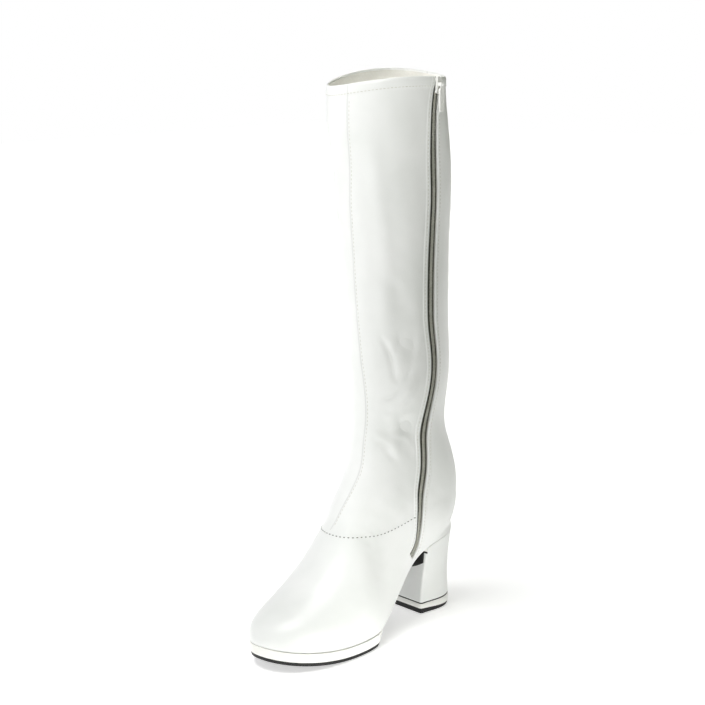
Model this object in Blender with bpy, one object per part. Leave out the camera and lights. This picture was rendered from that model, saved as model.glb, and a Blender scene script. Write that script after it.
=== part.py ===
"""White knee-high go go boot with a block heel and an inside zip, right foot.

Frame: metres, +Z up, the toe towards -Y, the inner (medial) side towards +X. The origin is the
middle of the heel's ground face. All driving sizes below are in millimetres.
"""

import math

import bmesh
import bpy
import numpy as np
from mathutils import Vector

MM = 0.001

# Driving sizes of the last and the boot
TOE_TIP = -204.0
TOE_TIP_X = -4.0
HEEL_REAR = 30.0
HEEL_PITCH = 75.5
SOLE_STACK = 12.0
TOE_SPRING = 8.9
WALL = 1.8
GAP = 0.3

# Plan of the sole edge: half widths measured from the centre line, on each side of the foot
BALL_INNER_Y = -124.0
BALL_INNER = 46.0
BALL_OUTER_Y = -108.0
BALL_OUTER = 44.3
TOE_SQUARENESS = 2.15
PLAN_COLUMNS = ("y", "inner", "outer")
PLAN = (
    (BALL_INNER_Y, BALL_INNER, None),
    (BALL_OUTER_Y, None, BALL_OUTER),
    (-96.0, 41.5, 43.6),
    (-72.0, 32.5, 39.8),
    (-48.0, 27.0, 35.0),
    (-25.0, 26.6, 31.8),
    (2.0, 29.3, 29.8),
)
SEAT_WIDEST_Y = 2.0
SEAT_SQUARENESS = 2.15
EDGE_STEP = 0.8

# Height of the feather edge, where the upper meets the sole, along the foot
FEATHER_COLUMNS = ("y", "z")
FEATHER = (
    (-116.0, 12.0),
    (-106.0, 12.0),
    (-96.0, 13.4),
    (-82.0, 17.3),
    (-66.0, 26.0),
    (-50.0, 40.0),
    (-36.0, 52.5),
    (-20.0, 61.6),
    (0.0, 67.6),
    (HEEL_REAR, HEEL_PITCH),
)
BALL_FLAT_FRONT = -124.0
BALL_FLAT_REAR = -106.0

# Cross-sections of the upper over the sole, toe to heel. Each lies in a plane through its ridge
# point (top of the foot) and its base point on the feather edge. centre is the middle across the
# foot, the swells are how far the sides stand out beyond the sole's plan, widest is the height of
# the greatest width as a share of the section, and crown is its squareness (2 is oval).
FOOT_COLUMNS = ("ridge_y", "ridge_z", "base_y", "centre", "inner_swell", "outer_swell", "widest", "crown")
FOOT_SECTIONS = (
    (-204.0, 38.5, -204.0, -4.0, 0.6, 0.6, 0.30, 2.6),
    (-190.0, 41.5, -190.0, -3.5, 0.8, 0.8, 0.28, 2.5),
    (-172.0, 47.5, -172.0, -2.5, 1.0, 1.0, 0.26, 2.4),
    (-152.0, 57.5, -152.0, -1.5, 1.0, 1.2, 0.24, 2.25),
    (-135.0, 69.5, -131.0, -1.0, 0.8, 1.5, 0.23, 2.15),
    (-122.0, 82.0, -110.0, -1.0, 1.0, 1.7, 0.24, 2.1),
    (-112.0, 95.5, -88.0, -1.0, 2.0, 2.2, 0.27, 2.1),
    (-104.0, 109.0, -66.0, -1.0, 3.6, 2.8, 0.31, 2.1),
    (-97.0, 121.0, -44.0, -1.0, 5.8, 5.0, 0.34, 2.15),
    (-91.0, 130.5, -24.0, -1.0, 6.8, 6.2, 0.35, 2.2),
    (-86.5, 138.0, -6.0, -1.0, 7.0, 7.0, 0.34, 2.3),
    (-83.0, 144.5, 10.0, -1.0, 7.0, 7.6, 0.32, 2.4),
    (-81.0, 149.5, 22.0, -1.0, 7.0, 8.2, 0.30, 2.45),
    (-79.7, 154.0, HEEL_REAR, -1.2, 6.9, 8.6, 0.29, 2.5),
)
# Cross-sections of the heel cup and the shaft, each a closed ring from its back point to its front
LEG_COLUMNS = ("ridge_y", "ridge_z", "base_y", "base_z", "centre", "half_width", "widest", "crown")
LEG_SECTIONS = (
    (-78.6, 158.5, 35.2, 88.0, -1.4, 36.4, 0.29, 2.5),
    (-77.4, 163.5, 38.6, 101.0, -1.6, 36.9, 0.30, 2.45),
    (-76.2, 169.0, 39.6, 115.0, -1.8, 36.8, 0.32, 2.4),
    (-75.0, 175.0, 37.6, 130.0, -2.0, 36.2, 0.36, 2.3),
    (-73.8, 181.5, 32.6, 145.0, -2.0, 35.6, 0.41, 2.15),
    (-72.8, 189.0, 26.6, 162.0, -2.1, 35.6, 0.46, 2.05),
    (-72.2, 198.0, 23.6, 180.0, -2.3, 36.6, 0.49, 2.0),
    (-72.2, 210.0, 25.6, 200.0, -2.6, 38.6, 0.50, 2.0),
    (-72.8, 232.0, 29.0, 230.0, -3.0, 40.6, 0.50, 2.0),
    (-73.3, 260.0, 28.8, 260.0, -3.5, 40.8, 0.50, 2.0),
    (-73.4, 290.0, 28.0, 290.0, -4.0, 41.6, 0.50, 2.0),
    (-73.8, 320.0, 28.9, 320.0, -5.0, 42.8, 0.50, 2.0),
    (-75.2, 350.0, 30.0, 350.0, -6.0, 44.6, 0.50, 2.0),
    (-78.0, 380.0, 31.9, 380.0, -7.0, 46.9, 0.50, 2.0),
    (-79.5, 410.0, 32.4, 410.0, -8.0, 47.8, 0.50, 2.0),
    (-83.6, 440.0, 29.3, 440.0, -8.6, 48.4, 0.50, 2.0),
    (-84.0, 464.0, 27.4, 464.0, -9.0, 47.9, 0.50, 2.0),
    (-83.4, 482.0, 27.2, 482.0, -9.0, 47.4, 0.50, 2.0),
)
COLLAR_HEIGHT = LEG_SECTIONS[-1][1]
NOSE_LENGTH = 26.0
NOSE_SQUARENESS = 2.3

# The collar edge is a gentle wave: highest at the outer back, lowest at the outer front
COLLAR_CENTRE = (-9.0, -28.0)
COLLAR_HALF = (47.4, 55.3)
COLLAR_TURN = math.radians(55.0)
COLLAR_ACROSS = 3.0
COLLAR_BEHIND = 3.0
COLLAR_SADDLE = 3.2
COLLAR_FADE = 70.0

# Zip along the inner side: its middle line, how far back it lies at each height
ZIP_COLUMNS = ("z", "y")
ZIP_LINE = (
    (60.0, -39.0),
    (76.0, -37.0),
    (100.0, -37.5),
    (117.0, -36.5),
    (132.0, -32.0),
    (148.0, -28.5),
    (162.0, -30.0),
    (180.0, -29.0),
    (198.0, -25.5),
    (216.0, -22.0),
    (236.0, -20.5),
    (254.0, -21.8),
    (272.0, -24.2),
    (292.0, -25.0),
    (340.0, -24.0),
    (400.0, -23.4),
    (446.0, -22.6),
    (460.0, -20.5),
    (486.0, -12.5),
)
ZIP_FOOT = 62.0
# Rows of the section tables from which the grid's columns follow the zip, and where it may open
ZIP_ROWS_FROM = 6.0
ZIP_ROWS_FULL = 8.0
SLOT_HALF = 4.75
FACING = 5.0
FACING_RISE = 0.35
TAPE_THICK = 0.8
COIL_HALF = 2.8
COIL_THICK = 1.3
COIL_DEPTH = 0.5
STEP_RUN = 0.3
ZIP_EDGE_CLEAR = 4.0
HEM_HEIGHT = 9.0
HEM_RISE = 0.4

# Sole edge, outsole and insole
EDGE_THICK = 9.2
OUTSOLE_THICK = SOLE_STACK - EDGE_THICK - 2 * GAP
WAIST_EDGE_THICK = 2.6
WAIST_OUTSOLE_THICK = 1.6
EDGE_THIN_FROM = -106.0
EDGE_THIN_TO = -82.0
SOLE_END = -19.0
OUTSOLE_INSET = 1.2
OUTSOLE_BEVEL = 0.6
WAIST_TUCK = 4.5
INSOLE_THICK = 2.0
INSOLE_CLEAR = 1.0

# Block heel
HEEL_TOP_BREAST = -18.0
HEEL_BASE_BREAST = -23.0
HEEL_BASE_REAR = 26.0
HEEL_BASE_HALF = 27.6
HEEL_WAIST_IN = 1.2
HEEL_DRAW = 1.6
HEEL_CORNER = 2.6
HEEL_TURN = 4.0
HEEL_WIDEST = 0.45
HEEL_BREAST_SHARE = 0.93
BAND_TOP = 9.4
TOP_PIECE_BREAST = 4.2
TOP_PIECE_REAR = 2.6

# Slider and pull tab
SLIDER_HEIGHT = 14.0
SLIDER_WIDTH = 8.4
SLIDER_THICK = 2.3
SLIDER_SEAT = -0.15
SLIDER_MIDDLE = 474.5
SLIDER_TILT = 14.0
SLIDER_TAPER = 0.78
SLIDER_ROUND = 0.7
PULL_LENGTH = 23.0
PULL_WIDTH = 7.4
PULL_THICK = 1.5
PIN_RADIUS = 0.7
PIN_HEIGHT = 1.0
KNUCKLE_RADIUS = 1.7
KNUCKLE_HALF = 1.5
NECK_LENGTH = 3.6
NECK_IN = 0.12
EAR_THICK = 0.9
EAR_HALF = 1.5
EAR_OVER = 1.3

# How finely the shapes are divided
NOSE_STEPS = 8
ROW_STEPS = 2
REAR_STEPS = 4
SIDE_COLUMNS = 5
OUTER_COLUMNS = 12
SLOT_COLUMN = SIDE_COLUMNS + 2
FACING_COLUMNS = (SLOT_COLUMN - 1, SLOT_COLUMN, SLOT_COLUMN + 1, SLOT_COLUMN + 2)
HEEL_LEVELS = 7

# Rows of the tables between which the ankle is evened out
EASE_FROM = 8.5
EASE_TO = 19.0
EASE_FADE = 2.5
EASE_ROUNDS = 14


def columns(table, names):
    """A table's columns by name; blank cells become nan."""
    cells = np.array([[math.nan if cell is None else cell for cell in row] for row in table])
    return dict(zip(names, cells.T))


def spline(knots, values, at):
    """Natural cubic spline through the knots, read at the given places, straight beyond the ends."""
    knots = np.asarray(knots, float)
    values = np.asarray(values, float)
    count = len(knots)
    step = np.diff(knots)
    slope = np.diff(values) / step
    matrix = np.eye(count)
    right = np.zeros(count)
    for i in range(1, count - 1):
        matrix[i, i - 1 : i + 2] = step[i - 1], 2 * (step[i - 1] + step[i]), step[i]
        right[i] = 6 * (slope[i] - slope[i - 1])
    bend = np.linalg.solve(matrix, right)
    at = np.asarray(at, float)
    i = np.clip(np.searchsorted(knots, at) - 1, 0, count - 2)
    t = at - knots[i]
    first = slope[i] - step[i] * (2 * bend[i] + bend[i + 1]) / 6
    inside = values[i] + t * (first + t * (bend[i] / 2 + t * (bend[i + 1] - bend[i]) / (6 * step[i])))
    low = values[0] + (at - knots[0]) * (slope[0] - step[0] * bend[1] / 6)
    high = values[-1] + (at - knots[-1]) * (slope[-1] + step[-1] * bend[-2] / 6)
    read = np.where(at < knots[0], low, inside)
    return np.where(at > knots[-1], high, read)


def smooth_step(value):
    """0 below 0, 1 above 1 and a smooth S between."""
    t = np.clip(value, 0.0, 1.0)
    return t * t * (3 - 2 * t)


def plan_half_width(y, side):
    """Half width of the sole edge on one side at y: round toe, table along the waist, round seat."""
    y = np.asarray(y, float)
    plan = columns(PLAN, PLAN_COLUMNS)
    known = ~np.isnan(plan[side])
    table_y = plan["y"][known]
    table_w = plan[side][known]
    ball_y = table_y[0]
    ball_w = table_w[0]
    # One more knot on each side of the table keeps the slope at the ball and the seat level
    knots = np.concatenate([[2 * ball_y - table_y[1]], table_y, [2 * table_y[-1] - table_y[-2]]])
    widths = np.concatenate([[table_w[1]], table_w, [table_w[-2]]])
    middle = spline(knots, widths, y)
    tip_x = TOE_TIP_X if side == "inner" else -TOE_TIP_X
    toe = np.clip((ball_y - y) / (ball_y - TOE_TIP), 0.0, 1.0)
    front = tip_x + (ball_w - tip_x) * (1 - toe**TOE_SQUARENESS) ** (1 / TOE_SQUARENESS)
    seat = np.clip((y - SEAT_WIDEST_Y) / (HEEL_REAR + EDGE_STEP - SEAT_WIDEST_Y), 0.0, 1.0)
    rear = table_w[-1] * (1 - seat**SEAT_SQUARENESS) ** (1 / SEAT_SQUARENESS)
    return np.where(y < ball_y, front, np.where(y > SEAT_WIDEST_Y, rear, middle))


def ground_height(y):
    """Underside of the sole at the forefoot: flat under the ball, rising to the toe."""
    share = np.clip((BALL_FLAT_FRONT - np.asarray(y, float)) / (BALL_FLAT_FRONT - TOE_TIP), 0.0, None)
    return TOE_SPRING * share**2


def feather_height(y):
    """Height of the edge where the upper meets the sole."""
    y = np.asarray(y, float)
    feather = columns(FEATHER, FEATHER_COLUMNS)
    behind = spline(feather["y"], feather["z"], y)
    return np.where(y < BALL_FLAT_REAR, SOLE_STACK + ground_height(y), behind)


def section_table():
    """Both section tables as columns of one run from the toe tip to the collar, and the heel's row."""
    foot = columns(FOOT_SECTIONS, FOOT_COLUMNS)
    leg = columns(LEG_SECTIONS, LEG_COLUMNS)
    foot["base_z"] = feather_height(foot["base_y"])
    for side, sign in (("inner", 1.0), ("outer", -1.0)):
        seat = plan_half_width(SEAT_WIDEST_Y, side) - EDGE_STEP
        leg[side + "_swell"] = leg["half_width"] - (seat - sign * leg["centre"])
    names = FOOT_COLUMNS + ("base_z",)
    return {name: np.concatenate([foot[name], leg[name]]) for name in names}, len(FOOT_SECTIONS) - 1


def row_places(table, heel_row):
    """Where the grid's rows lie along the table: close at the toe, the heel's rear and the hem."""
    angle = np.linspace(0.0, math.pi / 2, NOSE_STEPS + 1)
    nose_y = TOE_TIP + NOSE_LENGTH * (1 - np.cos(angle))
    nose = np.interp(nose_y, table["base_y"][:4], np.arange(4))
    last = heel_row - 1
    middle = np.linspace(nose[-1], last, int(ROW_STEPS * (last - nose[-1])) + 1)[1:]
    rear = last + np.sin(np.linspace(0.0, math.pi / 2, REAR_STEPS + 1))[1:]
    top = len(table["base_y"]) - 1
    above = np.linspace(heel_row, top, ROW_STEPS * (top - heel_row) + 1)[1:]
    hem = top - HEM_HEIGHT / (table["ridge_z"][-1] - table["ridge_z"][-2])
    above = np.sort(np.append(above[np.abs(above - hem) > 0.2], [hem - 0.02, hem + 0.02]))
    return np.concatenate([nose, middle, rear, above]), nose_y, hem


def section_rows():
    """The sections of the upper at every row of its grid, from the toe tip to the collar."""
    table, heel_row = section_table()
    place, nose_y, hem = row_places(table, heel_row)
    knots = np.arange(len(table["base_y"]))
    rows = {name: spline(knots, table[name], place) for name in table}
    on_sole = place <= heel_row
    rows["base_y"][: len(nose_y)] = nose_y
    rows["ridge_y"][: len(nose_y)] = nose_y
    rows["base_y"] = np.where(on_sole, np.minimum(rows["base_y"], HEEL_REAR), rows["base_y"])
    rows["base_z"] = np.where(on_sole, feather_height(rows["base_y"]), rows["base_z"])
    # Over the nose the height follows a quarter oval down to the tip
    nose = np.clip((TOE_TIP + NOSE_LENGTH - rows["base_y"]) / NOSE_LENGTH, 0.0, 1.0)
    rise = (1 - nose**NOSE_SQUARENESS) ** (1 / NOSE_SQUARENESS)
    rows["ridge_z"] = rows["base_z"] + (rows["ridge_z"] - rows["base_z"]) * rise
    for side, sign in (("inner", 1.0), ("outer", -1.0)):
        seat = plan_half_width(np.minimum(rows["base_y"], SEAT_WIDEST_Y), side)
        foot = plan_half_width(rows["base_y"], side)
        rows[side] = seat - EDGE_STEP - sign * rows["centre"] + rows[side + "_swell"] * rise
        rows[side + "_foot"] = np.where(on_sole, foot - EDGE_STEP - sign * rows["centre"], 0.0)
        rows[side + "_foot"][[0, np.flatnonzero(on_sole)[-1]]] = 0.0
        rows[side][0] = 0.0
    rows["hem"] = place > hem
    rows["place"] = place
    return rows


def half_section(row, side, steps=96):
    """Points of one side of a section, from its base or feather edge to its ridge.

    Two quarter ovals meet at the widest point; the lower one is cut off at the feather edge.
    """
    sign = 1.0 if side == "inner" else -1.0
    width = max(row[side], 1e-6)
    cut = math.acos(min(row[side + "_foot"] / width, 1.0))
    low = row["widest"] / max(math.sin(cut), 1e-6)
    angle = np.linspace(-cut, math.pi / 2, steps + 1)
    power = 2 / row["crown"]
    upper = np.clip(angle, 0.0, None)
    share = np.where(
        angle < 0,
        row["widest"] + low * np.sin(angle),
        row["widest"] + (1 - row["widest"]) * np.sin(upper) ** power,
    )
    across = np.where(angle < 0, np.cos(angle), np.cos(upper) ** power)
    across[-1] = 0.0
    x = row["centre"] + sign * width * across
    y = row["base_y"] + share * (row["ridge_y"] - row["base_y"])
    z = row["base_z"] + share * (row["ridge_z"] - row["base_z"])
    return np.stack([x, y, z], axis=1)


def collar_wave(points):
    """Lifts the points of the shaft by the wave of the collar edge, which fades down the shaft."""
    x = (points[..., 0] - COLLAR_CENTRE[0]) / COLLAR_HALF[0]
    y = (points[..., 1] - COLLAR_CENTRE[1]) / COLLAR_HALF[1]
    across = x * math.cos(COLLAR_TURN) + y * math.sin(COLLAR_TURN)
    behind = y * math.cos(COLLAR_TURN) - x * math.sin(COLLAR_TURN)
    wave = COLLAR_ACROSS * across + COLLAR_BEHIND * behind + COLLAR_SADDLE * (behind**2 - across**2)
    fade = smooth_step((points[..., 2] - (COLLAR_HEIGHT - COLLAR_FADE)) / COLLAR_FADE)
    lifted = points.copy()
    lifted[..., 2] += wave * fade
    return lifted


def arc_length(points):
    return np.concatenate([[0.0], np.cumsum(np.linalg.norm(np.diff(points, axis=0), axis=1))])


def along(points, length, places):
    return np.stack([np.interp(places, length, points[:, k]) for k in range(3)], axis=1)


def zip_place(points, length):
    """Arc length at which one inner half section crosses the zip's middle line."""
    zip_line = columns(ZIP_LINE, ZIP_COLUMNS)
    height = np.clip(points[:, 2], ZIP_LINE[0][0], ZIP_LINE[-1][0])
    offset = points[:, 1] - spline(zip_line["z"], zip_line["y"], height)
    return float(np.interp(0.0, -offset, length))


def inner_columns(length, middle, zip_share):
    """Arc lengths of the grid's columns on the inner side.

    Evenly spread over the front of the foot, and with columns on the edges of the zip's slot and
    facings where zip_share is 1.
    """
    edges = [SLOT_HALF + FACING + STEP_RUN, SLOT_HALF + FACING, SLOT_HALF]
    marks = middle + np.array([-edge for edge in edges] + edges[::-1])
    share = np.linspace(0.0, 1.0, SIDE_COLUMNS + 1)
    about_zip = np.concatenate([share[:-1] * marks[0], marks, marks[-1] + (length - marks[-1]) * share[1:]])
    even = np.linspace(0.0, length, len(about_zip))
    return even + (about_zip - even) * zip_share


def upper_grid():
    """Outer surface of the upper as rows by columns, and the rows.

    A row runs from the inner feather edge or the back line, over the zip and the ridge, to the
    outer feather edge or the back line.
    """
    rows = section_rows()
    grid = []
    for i, place in enumerate(rows["place"]):
        row = {name: float(values[i]) for name, values in rows.items()}
        inner = half_section(row, "inner")
        outer = half_section(row, "outer")
        inner_length = arc_length(inner)
        outer_length = arc_length(outer)
        clear = SLOT_HALF + FACING + ZIP_EDGE_CLEAR
        total = inner_length[-1]
        middle = min(max(zip_place(inner, inner_length), clear), max(total - clear, clear))
        follow = float(smooth_step((place - ZIP_ROWS_FROM) / (ZIP_ROWS_FULL - ZIP_ROWS_FROM)))
        places = inner_columns(total, middle, follow)
        back = np.linspace(1.0, 0.0, OUTER_COLUMNS + 1)[1:] * outer_length[-1]
        grid.append(np.concatenate([along(inner, inner_length, places), along(outer, outer_length, back)]))
    return collar_wave(eased(np.array(grid), rows["place"])), rows


def eased(grid, place):
    """The grid with its rows round the heel and ankle evened out, so that no fold crosses the surface.

    Each point moves towards the middle of its neighbours in the rows above and below, the edge
    columns not at all and the rows outside the ankle less and less.
    """
    rows_share = smooth_step((place - EASE_FROM) / EASE_FADE) * smooth_step((EASE_TO - place) / EASE_FADE)
    columns_share = np.ones(grid.shape[1])
    columns_share[[0, -1]] = 0.0
    columns_share[[1, -2]] = 0.6
    weight = 0.5 * (rows_share[:, None] * columns_share[None, :])[1:-1, :, None]
    smooth = grid.copy()
    for _ in range(EASE_ROUNDS):
        middle = (smooth[:-2] + smooth[2:]) / 2
        smooth[1:-1] += (middle - smooth[1:-1]) * weight
    return smooth


def vertex_normals(points, faces):
    """Unit normals of the points, each the sum of its faces' area normals."""
    normals = np.zeros_like(points)
    corners = points[faces]
    area = np.cross(corners[:, 2] - corners[:, 0], corners[:, 3] - corners[:, 1])
    for k in range(4):
        np.add.at(normals, faces[:, k], area)
    return normals / np.maximum(np.linalg.norm(normals, axis=1, keepdims=True), 1e-12)


class Upper:
    """The upper's grid with its normals, from which the wall and the zip's strips are offset."""

    def __init__(self):
        self.grid, self.rows = upper_grid()
        self.row_count, self.column_count = self.grid.shape[:2]
        ids = np.arange(self.row_count * self.column_count).reshape(self.row_count, self.column_count)
        # All of the tip's row is one point, and from the heel's rear upwards a row is a closed ring
        ids[0, :] = ids[0, 0]
        closed = np.arange(self.row_count) >= self.heel_row()
        ids[closed, -1] = ids[closed, 0]
        self.ids = ids
        cells = [ids[:-1, :-1], ids[1:, :-1], ids[1:, 1:], ids[:-1, 1:]]
        self.quads = np.stack(cells, axis=-1)
        points = self.grid.reshape(-1, 3)
        self.normals = vertex_normals(points, self.quads.reshape(-1, 4))[ids]
        slot = self.grid[:, SLOT_COLUMN : SLOT_COLUMN + 2].mean(axis=1)
        self.slot_rows = (slot[:, 2] > ZIP_FOOT) & (self.rows["place"] > ZIP_ROWS_FULL)

    def heel_row(self):
        return int(np.flatnonzero(self.rows["base_y"] >= HEEL_REAR - 1e-6)[0])

    def skin(self, depth):
        """The whole grid moved inwards by depth along its normals."""
        return self.grid - self.normals * depth

    def outer_skin(self):
        """The outer skin with the raised hem at the collar and the raised facings beside the zip."""
        raised = np.zeros((self.row_count, self.column_count))
        raised[self.rows["hem"].astype(bool)] = HEM_RISE
        for column in FACING_COLUMNS:
            raised[self.slot_rows, column] = FACING_RISE
        return self.grid + self.normals * raised[..., None]


def upper_shape(upper):
    """Points and faces of the hollow upper: two skins, the collar and feather rims and the zip slot."""
    outer = upper.outer_skin()
    inner = upper.skin(WALL)
    # The lower rim of the lining side stays above the sole
    for column in (0, -1):
        on_sole = np.arange(upper.row_count) <= upper.heel_row()
        low = feather_height(inner[on_sole, column, 1])
        inner[on_sole, column, 2] = np.maximum(inner[on_sole, column, 2], low)
    kept = np.ones((upper.row_count - 1, upper.column_count - 1), bool)
    open_rows = upper.slot_rows[:-1] & upper.slot_rows[1:]
    kept[open_rows, SLOT_COLUMN] = False
    quads = upper.quads[kept]
    shift = outer.shape[0] * outer.shape[1]
    faces = [list(dict.fromkeys(face)) for face in quads.tolist()]
    faces = [face for face in faces if len(face) > 2]
    back = [[corner + shift for corner in reversed(face)] for face in faces]
    rims = []
    edges = {}
    for face in faces:
        for first, second in zip(face, face[1:] + face[:1]):
            edges[first, second] = True
    for first, second in edges:
        if (second, first) not in edges:
            rims.append([second, first, first + shift, second + shift])
    points = np.concatenate([outer.reshape(-1, 3), inner.reshape(-1, 3)])
    return points, faces + back + rims


def strip_shape(top, bottom):
    """Points and faces of a closed strip between two grids of rows by columns."""
    rows, across = top.shape[:2]
    ids = np.arange(rows * across).reshape(rows, across)
    shift = rows * across
    faces = np.stack([ids[:-1, :-1], ids[:-1, 1:], ids[1:, 1:], ids[1:, :-1]], axis=-1).reshape(-1, 4)
    around = np.concatenate([ids[0, :], ids[1:, -1], ids[-1, -2::-1], ids[-2:0:-1, 0]])
    after = np.roll(around, -1)
    sides = np.stack([after, around, around + shift, after + shift], axis=1)
    points = np.concatenate([top.reshape(-1, 3), bottom.reshape(-1, 3)])
    return points, faces.tolist() + (faces[:, ::-1] + shift).tolist() + sides.tolist()


def plan_pairs(stations):
    """The sole's plan at the stations as pairs of points, inner and outer side."""
    inner = np.stack([plan_half_width(stations, "inner"), stations], axis=1)
    outer = np.stack([-plan_half_width(stations, "outer"), stations], axis=1)
    return inner, outer


def inset_pairs(inner, outer, inset):
    """Both sides of a plan moved inwards by inset, one number or one for each station."""
    loop = np.concatenate([inner, outer[::-1]])
    step = np.roll(loop, -1, axis=0) - np.roll(loop, 1, axis=0)
    inward = np.stack([-step[:, 1], step[:, 0]], axis=1)
    inward /= np.maximum(np.linalg.norm(inward, axis=1, keepdims=True), 1e-9)
    amount = np.broadcast_to(np.asarray(inset, float), (len(inner),))
    moved = loop + inward * np.concatenate([amount, amount[::-1]])[:, None]
    return moved[: len(inner)], moved[len(inner) :][::-1]


def slab_shape(levels):
    """Points and faces of a closed slab: levels of (inner pairs, outer pairs, height at y), top first.

    Both caps run straight across from side to side, and the levels are joined by side walls.
    """
    count = len(levels[0][0])
    rings = []
    for inner, outer, height in levels:
        plan = np.concatenate([inner, outer[::-1]])
        rings.append(np.concatenate([plan, height(plan[:, 1])[:, None]], axis=1))
    size = 2 * count
    ring = np.arange(size)
    faces = []
    for level in range(len(levels) - 1):
        start = level * size
        below = start + size
        after = np.roll(ring, -1)
        faces += np.stack([ring + start, ring + below, after + below, after + start], axis=1).tolist()
    last = (len(levels) - 1) * size
    for k in range(count - 1):
        cap = [k, k + 1, size - 2 - k, size - 1 - k]
        faces.append(cap)
        faces.append([corner + last for corner in reversed(cap)])
    return np.concatenate(rings), faces


def sole_thickness(y, thick, thin):
    """Thickness of a sole layer: full at the forefoot, thin from the waist back."""
    share = smooth_step((y - EDGE_THIN_FROM) / (EDGE_THIN_TO - EDGE_THIN_FROM))
    return thick + (thin - thick) * share


def sole_stations():
    front = TOE_TIP + NOSE_LENGTH * (1 - np.cos(np.linspace(0.06, 1.0, 9) * math.pi / 2))
    return np.concatenate([front, np.linspace(front[-1], SOLE_END, 30)[1:]])


def sole_pairs(stations, inset):
    """The sole's plan moved in by inset, and tucked in below the arch, up to the heel's breast."""
    tuck = WAIST_TUCK * smooth_step((stations - EDGE_THIN_FROM) / (EDGE_THIN_TO - EDGE_THIN_FROM))
    inner, outer = inset_pairs(*plan_pairs(stations), tuck + inset)
    inner[-1, 1] = outer[-1, 1] = SOLE_END
    return inner, outer


def sole_edge_shape():
    """The white sole edge: a full-thickness rounded band round the forefoot, thin under the arch."""
    stations = sole_stations()
    profile = ((0.9, 0.0), (0.15, 0.08), (0.0, 0.35), (0.0, 0.75), (0.35, 0.93), (1.0, 1.0))
    levels = []
    for inset, drop in profile:
        pair = sole_pairs(stations, inset)
        levels.append((*pair, lambda y, drop=drop: edge_height(y, drop)))
    return slab_shape(levels)


def edge_height(y, drop):
    """Height in the sole edge, drop 0 at its top and 1 at its underside."""
    return feather_height(y) - GAP - drop * sole_thickness(y, EDGE_THICK, WAIST_EDGE_THICK)


def tread_height(y, drop):
    """Height in the outsole, drop 0 at its top and 1 at its underside, flat under the ball."""
    top = edge_height(y, 1.0) - GAP
    bottom = np.maximum(top - sole_thickness(y, OUTSOLE_THICK, WAIST_OUTSOLE_THICK), 0.0)
    bottom = np.where((y > BALL_FLAT_FRONT) & (y < BALL_FLAT_REAR), 0.0, bottom)
    return top + drop * (bottom - top)


def outsole_shape():
    """The black outsole: flat under the ball, rising with the toe spring and along the arch."""
    stations = sole_stations()
    levels = []
    for inset, drop in ((0.0, 0.0), (0.0, 0.6), (OUTSOLE_BEVEL, 1.0)):
        pair = sole_pairs(stations, OUTSOLE_INSET + inset)
        levels.append((*pair, lambda y, drop=drop: tread_height(y, drop)))
    return slab_shape(levels)


def insole_shape():
    """The insole inside the upper, from the toe to the heel's rear."""
    front = TOE_TIP + NOSE_LENGTH * (1 - np.cos(np.linspace(0.1, 1.0, 7) * math.pi / 2))
    rear = HEEL_REAR - (HEEL_REAR - SEAT_WIDEST_Y) * (1 - np.sin(np.linspace(0.0, 0.94, 7) * math.pi / 2))
    stations = np.concatenate([front, np.linspace(front[-1], SEAT_WIDEST_Y, 32)[1:-1], rear])
    inner, outer = plan_pairs(stations)
    pair = inset_pairs(inner, outer, EDGE_STEP + WALL + INSOLE_CLEAR)
    return slab_shape([(*pair, lambda y: feather_height(y) + INSOLE_THICK), (*pair, feather_height)])


def heel_half_width(share, half):
    """Half width of the heel block's ground plan, share 0 at the breast to 1 at the rear."""
    length = HEEL_BASE_REAR - HEEL_BASE_BREAST
    y = share * length
    corner = np.clip(HEEL_CORNER - y, 0.0, HEEL_CORNER)
    corner_in = HEEL_CORNER - np.sqrt(HEEL_CORNER**2 - corner**2)
    side = half * (HEEL_BREAST_SHARE + (1 - HEEL_BREAST_SHARE) * smooth_step(share / HEEL_WIDEST))
    back = np.clip((share - HEEL_WIDEST) / (1 - HEEL_WIDEST), 0.0, 1.0)
    return side * (1 - back**SEAT_SQUARENESS) ** (1 / SEAT_SQUARENESS) - corner_in


def heel_shares():
    front = np.array([0.0, 0.01, 0.025, 0.055])
    back = HEEL_WIDEST + (1 - HEEL_WIDEST) * np.sin(np.linspace(0.0, 0.96, 10) * math.pi / 2)
    return np.concatenate([front, np.linspace(0.12, HEEL_WIDEST, 4)[:-1], back])


def heel_base_pairs():
    """Ground plan of the heel as pairs, turned a little outwards in front."""
    share = heel_shares()
    y = HEEL_BASE_BREAST + share * (HEEL_BASE_REAR - HEEL_BASE_BREAST)
    half = heel_half_width(share, HEEL_BASE_HALF)
    turn = math.radians(HEEL_TURN)
    pairs = []
    for x in (half, -half):
        across = x * math.cos(turn) + y * math.sin(turn)
        lengthways = y * math.cos(turn) - x * math.sin(turn)
        pairs.append(np.stack([across, lengthways], axis=1))
    return pairs


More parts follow.
